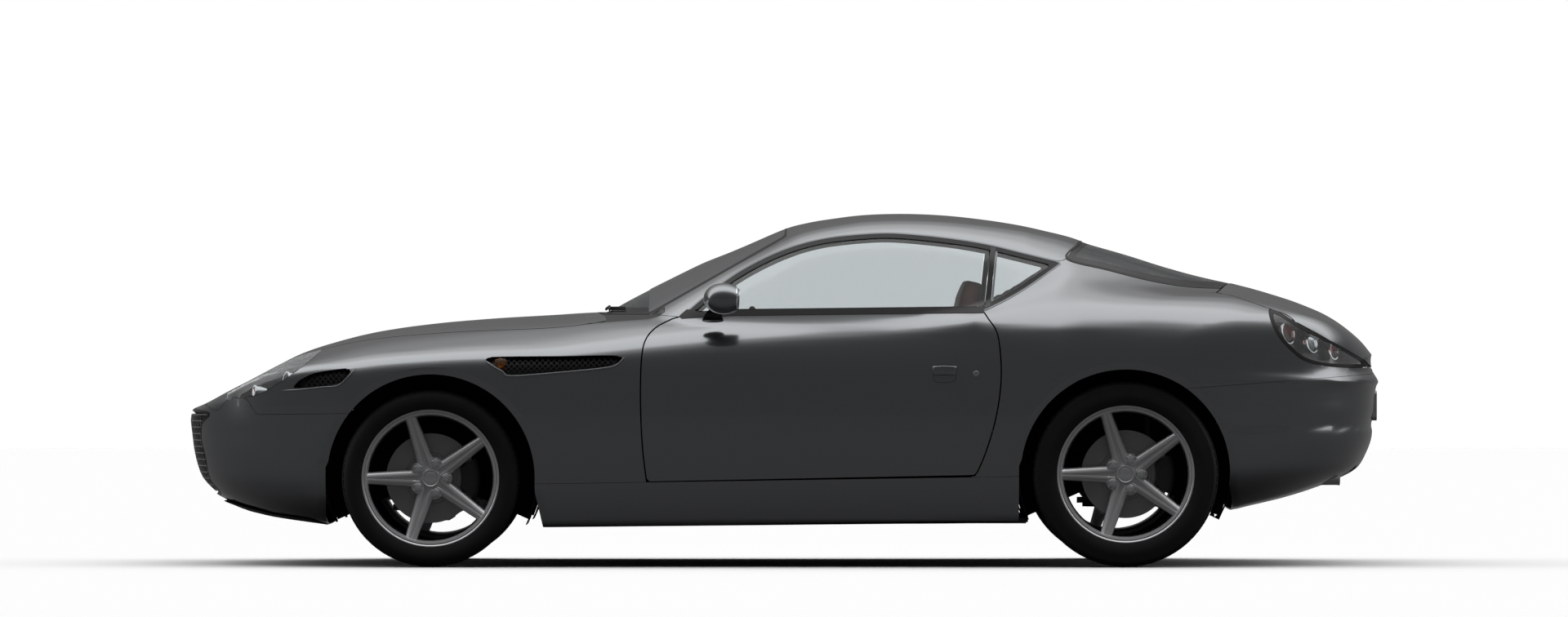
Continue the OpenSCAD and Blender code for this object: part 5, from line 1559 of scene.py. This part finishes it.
# Centre tunnel with its arm rest, gear lever and gaiter
tunnel = padAlong([(-680, 0, 350), (-500, 0, 352), (-250, 0, 345), (0, 0, 335), (400, 0, 335),
                   (790, 0, 335)],
                  (0, 1, 0), [96, 96, 94, 94, 96, 96], [165, 168, 160, 152, 158, 158], 6, 50, 14)
skinObject("tunnelCover", tunnel, "darkLeather", "body", "leather", "centre_tunnel")
armPad = padAlong([(330, 0, 502), (480, 0, 506), (660, 0, 504)], (0, 1, 0), [70, 74, 70], [20, 24, 20], 3.4,
                  seams=(0.5,), crown=0.1)
skinObject("armRest", armPad, "leather", "body", "leather")
gaiter = revolved([(0, 0), (58, 0), (46, 14), (48, 20), (34, 34), (36, 40), (22, 56), (12, 70), (0, 72)],
                  36, 60)
lever = revolved([(0, 60), (6, 60), (6, 120), (16, 128), (21, 142), (20, 154), (12, 164), (0, 167)], 32, 60)
skinObject("gearGaiter", aimed(gaiter, (20, 0, 486), (0.12, 0, 1), (0, 1, 0)), "leather", "body", "leather")
skinObject("gearLever", aimed(lever, (20, 0, 486), (0.12, 0, 1), (0, 1, 0)), "chrome", "body", "wheel_metal")
print("cabin made")

# Trim outside
wiper = {"pivots": [(-648, -330), (-668, 210)], "foot": -648, "bow": 0.00045}
arms, blades = [], []
for px, py in wiper["pivots"]:
    yb = np.linspace(py - 40, py + 520, 24) if py < 0 else np.linspace(py - 470, py + 60, 24)
    xb = wiper["foot"] + wiper["bow"] * yb**2
    def overScreen(x, y, lift):
        s = np.stack([x, y, np.full(len(x), 0.0)], -1)
        low, high = np.full(len(x), 850.0), np.full(len(x), 1400.0)
        for _ in range(22):
            z = (low + high) / 2
            s[:, 2] = z
            inside = formAt(s) < 0
            low, high = np.where(inside, z, low), np.where(inside, high, z)
        s[:, 2] = (low + high) / 2
        return s + normalAt(s) * lift
    blades.append(ribbon(overScreen(xb, yb, 7), (0, 0, 1), [(-7, -2), (7, -1), (7, 1), (-7, 2)]))
    x2 = np.linspace(px, xb[12], 16)
    y2 = np.linspace(py, yb[12], 16)
    arms.append(ribbon(overScreen(x2, y2, 14), (0, 0, 1), roundProfile(6, 3.5, 10, 2.5)))
skinObject("wiperBlades", joined(blades), "seal", "body", "black_plastic")
skinObject("wiperArms", joined(arms), "plastic", "body", "black_plastic")

pipes = {"y": 340, "apart": 42, "z": 330, "end": 2064}
tips = []
for e in (-1, 1):
    for s in (-1, 1):
        tip = revolved([(31, -155), (34, -155), (34, 0), (35.5, 4), (34.5, 8), (32, 9), (30.5, 5),
                        (30.5, -153)], 40, 50)
        tips.append(aimed(tip, (pipes["end"] - 9, s * pipes["y"] + e * pipes["apart"], pipes["z"]),
                          (1, 0, 0)))
skinObject("tailPipes", joined(tips), "chrome", "body", "steel", "exhaust")
# A rounded silencer ahead of each pair of pipes, with a rolled seam at both ends
can = revolved([(0, 0), (38, 2), (54, 12), (57, 18), (57.5, 22), (56, 26), (56, 276), (57.5, 280), (57, 284),
                (54, 290), (38, 299), (0, 300)], 56, 40)
skinObject("silencers", joined([aimed(can, (1600, s * pipes["y"], pipes["z"]), (1, 0, 0)) for s in (-1, 1)]),
           "steel", "body", "steel")

plate = {"half": (260, 56), "at": 590, "proud": 1.5, "depth": 16, "points": 48}
half, high = plate["half"]
corners = superOutline([-half, plate["at"] - high], [half, plate["at"] + high], 14, plate["points"])
faceX = faceAt(corners, False)[:, 0].max() + plate["proud"]
outerRing = np.stack([np.full(plate["points"], faceX), corners[:, 0], corners[:, 1]], -1)
backRing = outerRing.copy()
backRing[:, 0] -= plate["depth"]
skinObject("rearPlate", shellPart(np.stack([backRing, outerRing]), limit=30), "whitePlate", "body",
           "body_paint")
print("trim made")

# The CAD pieces that stay get their finish.
finishes = {"floor_pan": "darkPaint", "front_splitter": "plastic", "bulkheads": "lining",
            "engine_block": "cast", "front_suspension": "cast", "rear_suspension": "cast",
            "knuckle_left": "cast", "knuckle_right": "cast"}
for node, material in finishes.items():
    for materialSlot in nodes[node].material_slots:
        materialSlot.material = materials[material]

# Camera, light and floor
studio = {"lens": 300, "sensor": 36, "height": 0.952, "nearSide": -0.9, "viewWidth": 5.76,
          "wall": 1.0, "floorReflected": 0.04, "strength": 2.15, "reflected": 0.1,
          "floorHalf": 40000,
          "bands": [(0, 0.02), (0.05, 0.05), (0.12, 0.2), (0.24, 0.6), (0.36, 1.0), (0.6, 1.0), (0.69, 0.25),
                    (0.8, 0.05), (0.9, 0.01), (1, 0.008)]}
camera = bpy.data.cameras.new("camera")
camera.lens = studio["lens"]
camera.sensor_width = studio["sensor"]
camera.clip_end = 200
cameraObject = bpy.data.objects.new("camera", camera)
distance = studio["viewWidth"] * studio["lens"] / studio["sensor"]
cameraObject.location = (0, studio["nearSide"] - distance, studio["height"])
cameraObject.rotation_euler = (math.pi / 2, 0, 0)
bpy.context.scene.collection.objects.link(cameraObject)
bpy.context.scene.camera = cameraObject

scene = bpy.context.scene
scene.view_settings.view_transform = "Standard"
world = bpy.data.worlds.new("studio")
scene.world = world
world.use_nodes = True
wt = world.node_tree
wt.nodes.clear()


def worldNode(kind, **values):
    node = wt.nodes.new(kind)
    for key, value in values.items():
        setattr(node, key, value)
    return node


# Around the car: a long soft light overhead, running from nose to tail, in a dim room. The place on the
# ramp follows y of the direction seen along the car: 0 is the far side, 0.5 straight up, 1 the near side.
coordsNode = worldNode("ShaderNodeTexCoord")
splitNode = worldNode("ShaderNodeSeparateXYZ")
wt.links.new(coordsNode.outputs["Generated"], splitNode.inputs[0])
flatY = worldNode("ShaderNodeCombineXYZ")
wt.links.new(splitNode.outputs["Y"], flatY.inputs["Y"])
wt.links.new(splitNode.outputs["Z"], flatY.inputs["Z"])
unitNode = worldNode("ShaderNodeVectorMath", operation="NORMALIZE")
wt.links.new(flatY.outputs[0], unitNode.inputs[0])
splitUnit = worldNode("ShaderNodeSeparateXYZ")
wt.links.new(unitNode.outputs[0], splitUnit.inputs[0])
toRamp = worldNode("ShaderNodeMapRange")
toRamp.inputs["From Min"].default_value = 1
toRamp.inputs["From Max"].default_value = -1
wt.links.new(splitUnit.outputs["Y"], toRamp.inputs["Value"])
ramp = worldNode("ShaderNodeValToRGB")
ramp.color_ramp.interpolation = "EASE"
stops = ramp.color_ramp.elements
for at, level in studio["bands"]:
    stop = stops[0] if at == 0 else stops[len(stops) - 1] if at == 1 else stops.new(at)
    stop.color = (level, level, level, 1)
wt.links.new(toRamp.outputs["Result"], ramp.inputs["Fac"])
lit = worldNode("ShaderNodeBackground")
lit.inputs["Strength"].default_value = studio["strength"]
wt.links.new(ramp.outputs["Color"], lit.inputs["Color"])
plain = worldNode("ShaderNodeBackground")
plain.inputs["Color"].default_value = (1, 1, 1, 1)
plain.inputs["Strength"].default_value = studio["wall"]


# how much of a ray sees white: all to the camera and through glass, a share in reflections
def whiteShare(tree):
    path = tree.nodes.new("ShaderNodeLightPath")
    direct, dimmed, share = [tree.nodes.new("ShaderNodeMath") for _ in range(3)]
    direct.operation = share.operation = "MAXIMUM"
    dimmed.operation = "MULTIPLY"
    dimmed.inputs[1].default_value = studio["reflected"]
    tree.links.new(path.outputs["Is Camera Ray"], direct.inputs[0])
    tree.links.new(path.outputs["Is Transmission Ray"], direct.inputs[1])
    tree.links.new(path.outputs["Is Glossy Ray"], dimmed.inputs[0])
    tree.links.new(direct.outputs[0], share.inputs[0])
    tree.links.new(dimmed.outputs[0], share.inputs[1])
    return share.outputs[0]


mixNode = worldNode("ShaderNodeMixShader")
wt.links.new(whiteShare(wt), mixNode.inputs[0])
wt.links.new(lit.outputs[0], mixNode.inputs[1])
wt.links.new(plain.outputs[0], mixNode.inputs[2])
outNode = worldNode("ShaderNodeOutputWorld")
wt.links.new(mixNode.outputs[0], outNode.inputs["Surface"])

# The floor is white to the camera, and dark in most of what it reflects and lights, so the flanks stay dark.
floorMaterial, floorTree, floorShader = newMaterial("paleFloor", (0.97, 0.97, 0.97), roughness=0.9,
                                                    specular=0.0)
dimFloor = floorTree.nodes.new("ShaderNodeBsdfDiffuse")
dimFloor.inputs["Color"].default_value = (*[studio["floorReflected"]] * 3, 1)
floorMix = floorTree.nodes.new("ShaderNodeMixShader")
floorTree.links.new(whiteShare(floorTree), floorMix.inputs[0])
floorTree.links.new(dimFloor.outputs[0], floorMix.inputs[1])
floorTree.links.new(floorShader.outputs[0], floorMix.inputs[2])
floorTree.links.new(floorMix.outputs[0], floorTree.nodes["Material Output"].inputs["Surface"])
edge = studio["floorHalf"]
floorMesh = makeObject("floor", [[-edge, -edge, 0], [edge, -edge, 0], [edge, edge, 0], [-edge, edge, 0]],
                       [(0, 1, 2, 3)], floorMaterial)
